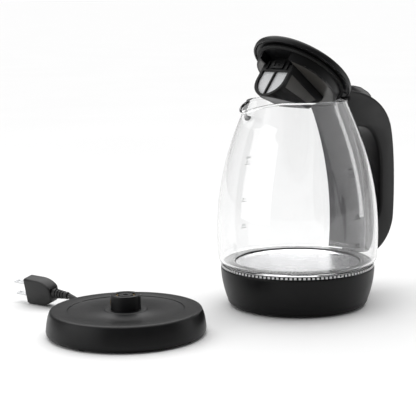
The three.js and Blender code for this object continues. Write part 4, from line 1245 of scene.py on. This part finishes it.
# %% [markdown]
# ## Finishes for the CAD nodes that stay
# Small metal, rubber and nylon pieces already have their true shape, so they keep the CAD mesh. Each
# takes the finish of its slot in the record.

# %% finishes on CAD nodes
FINISH_OF = {
    "black_satin": black_satin, "black_gloss": black_gloss, "black_matt": black_matt, "rubber": rubber,
    "silicone": milky, "mesh": weave, "nylon": nylon, "steel": steel, "dark_steel": dark_steel,
    "plate": plate_steel, "brass": brass, "glass": jug_glass,
}
slot_of = {entry["node"]: entry["material_slot"] for entry in frame["record"]["subparts"]}
for node, thing in NODES.items():
    thing.data.materials.clear()
    thing.data.materials.append(FINISH_OF[slot_of[node]])
print("finished", len(NODES), "CAD nodes")

# %% [markdown]
# ## Studio
# A pale floor melts into a pale surround. One large softbox stands on the left, a narrow strip on the
# right draws the bright line down the glass, and a broad soft sky lights all of it. The floor is far
# larger than it needs to be, so that its edge never shows.

# %% floor
FLOOR_HALF = 150
floor_work = bmesh.new()
bmesh.ops.create_grid(floor_work, x_segments=1, y_segments=1, size=FLOOR_HALF)
floor_mesh = bpy.data.meshes.new("floor")
floor_work.to_mesh(floor_mesh)
floor_work.free()
floor = put_in_scene("floor", floor_mesh)
floor_mesh.materials.append(
    finish("floor_paper", (0.80, 0.80, 0.80), (0.81, 0.81, 0.81), (0.7, 0.8), drift=3, shine=0.1),
)
print("floor laid")

# %% [markdown]
# The surround is white where it is looked at, straight or through the glass, and dim where it only
# mirrors in the plastics. So black stays black, and the glass keeps its grey edges.

# %% surround
SEEN_GLOW, MIRRORED_GLOW = 1.0, 0.24

world = bpy.data.worlds.new("surround")
bpy.context.scene.world = world
world.use_nodes = True
world_tree = world.node_tree
background = world_tree.nodes["Background"]
background.inputs["Color"].default_value = (1, 1, 1, 1)
paths = world_tree.nodes.new("ShaderNodeLightPath")
looked_at = world_tree.nodes.new("ShaderNodeMath")
looked_at.operation = "MAXIMUM"
world_tree.links.new(paths.outputs["Is Camera Ray"], looked_at.inputs[0])
world_tree.links.new(paths.outputs["Is Transmission Ray"], looked_at.inputs[1])
strength = world_tree.nodes.new("ShaderNodeMapRange")
strength.inputs["To Min"].default_value = MIRRORED_GLOW
strength.inputs["To Max"].default_value = SEEN_GLOW
world_tree.links.new(looked_at.outputs["Value"], strength.inputs["Value"])
world_tree.links.new(strength.outputs["Result"], background.inputs["Strength"])
print("surround lit")

# %% [markdown]
# Softboxes are area lights, which show in the gloss as soft rectangles. The sky is a sun lamp with a
# very wide angle, so its shadows are soft and never crossed.

# %% lights
AIM = KETTLE + Vector((0, 0, 0.11))
SKY_ENERGY = 3.35
SKY_SPREAD = math.radians(80)
SKY_DIRECTION = Vector((-0.24, -0.27, -0.93))


def point_light(lamp, direction):
    """Turns a lamp so that it shines along a direction."""
    lamp.rotation_mode = "QUATERNION"
    lamp.rotation_quaternion = direction.to_track_quat("-Z", "Y")


def soft_light(name, azimuth, distance, height, size, glow):
    """A rectangular softbox facing the kettle, with its brightness per area, not its total power."""
    data = bpy.data.lights.new(name, "AREA")
    data.shape = "RECTANGLE"
    data.size, data.size_y = size
    data.energy = glow * math.pi * size[0] * size[1]
    lamp = put_in_scene(name, data)
    turned_to = math.radians(azimuth)
    lamp.location = KETTLE + Vector((distance * math.cos(turned_to), distance * math.sin(turned_to), height))
    point_light(lamp, AIM - lamp.location)


soft_light("left_softbox", 162, 1.15, 0.42, (1.1, 0.8), 1.8)
soft_light("right_strip", 326, 1.1, 0.40, (0.16, 0.8), 3.5)
sky_data = bpy.data.lights.new("sky", "SUN")
sky_data.energy = SKY_ENERGY
sky_data.angle = SKY_SPREAD
point_light(put_in_scene("sky", sky_data), SKY_DIRECTION)
bpy.context.scene.view_settings.view_transform = "Standard"
print("lit")
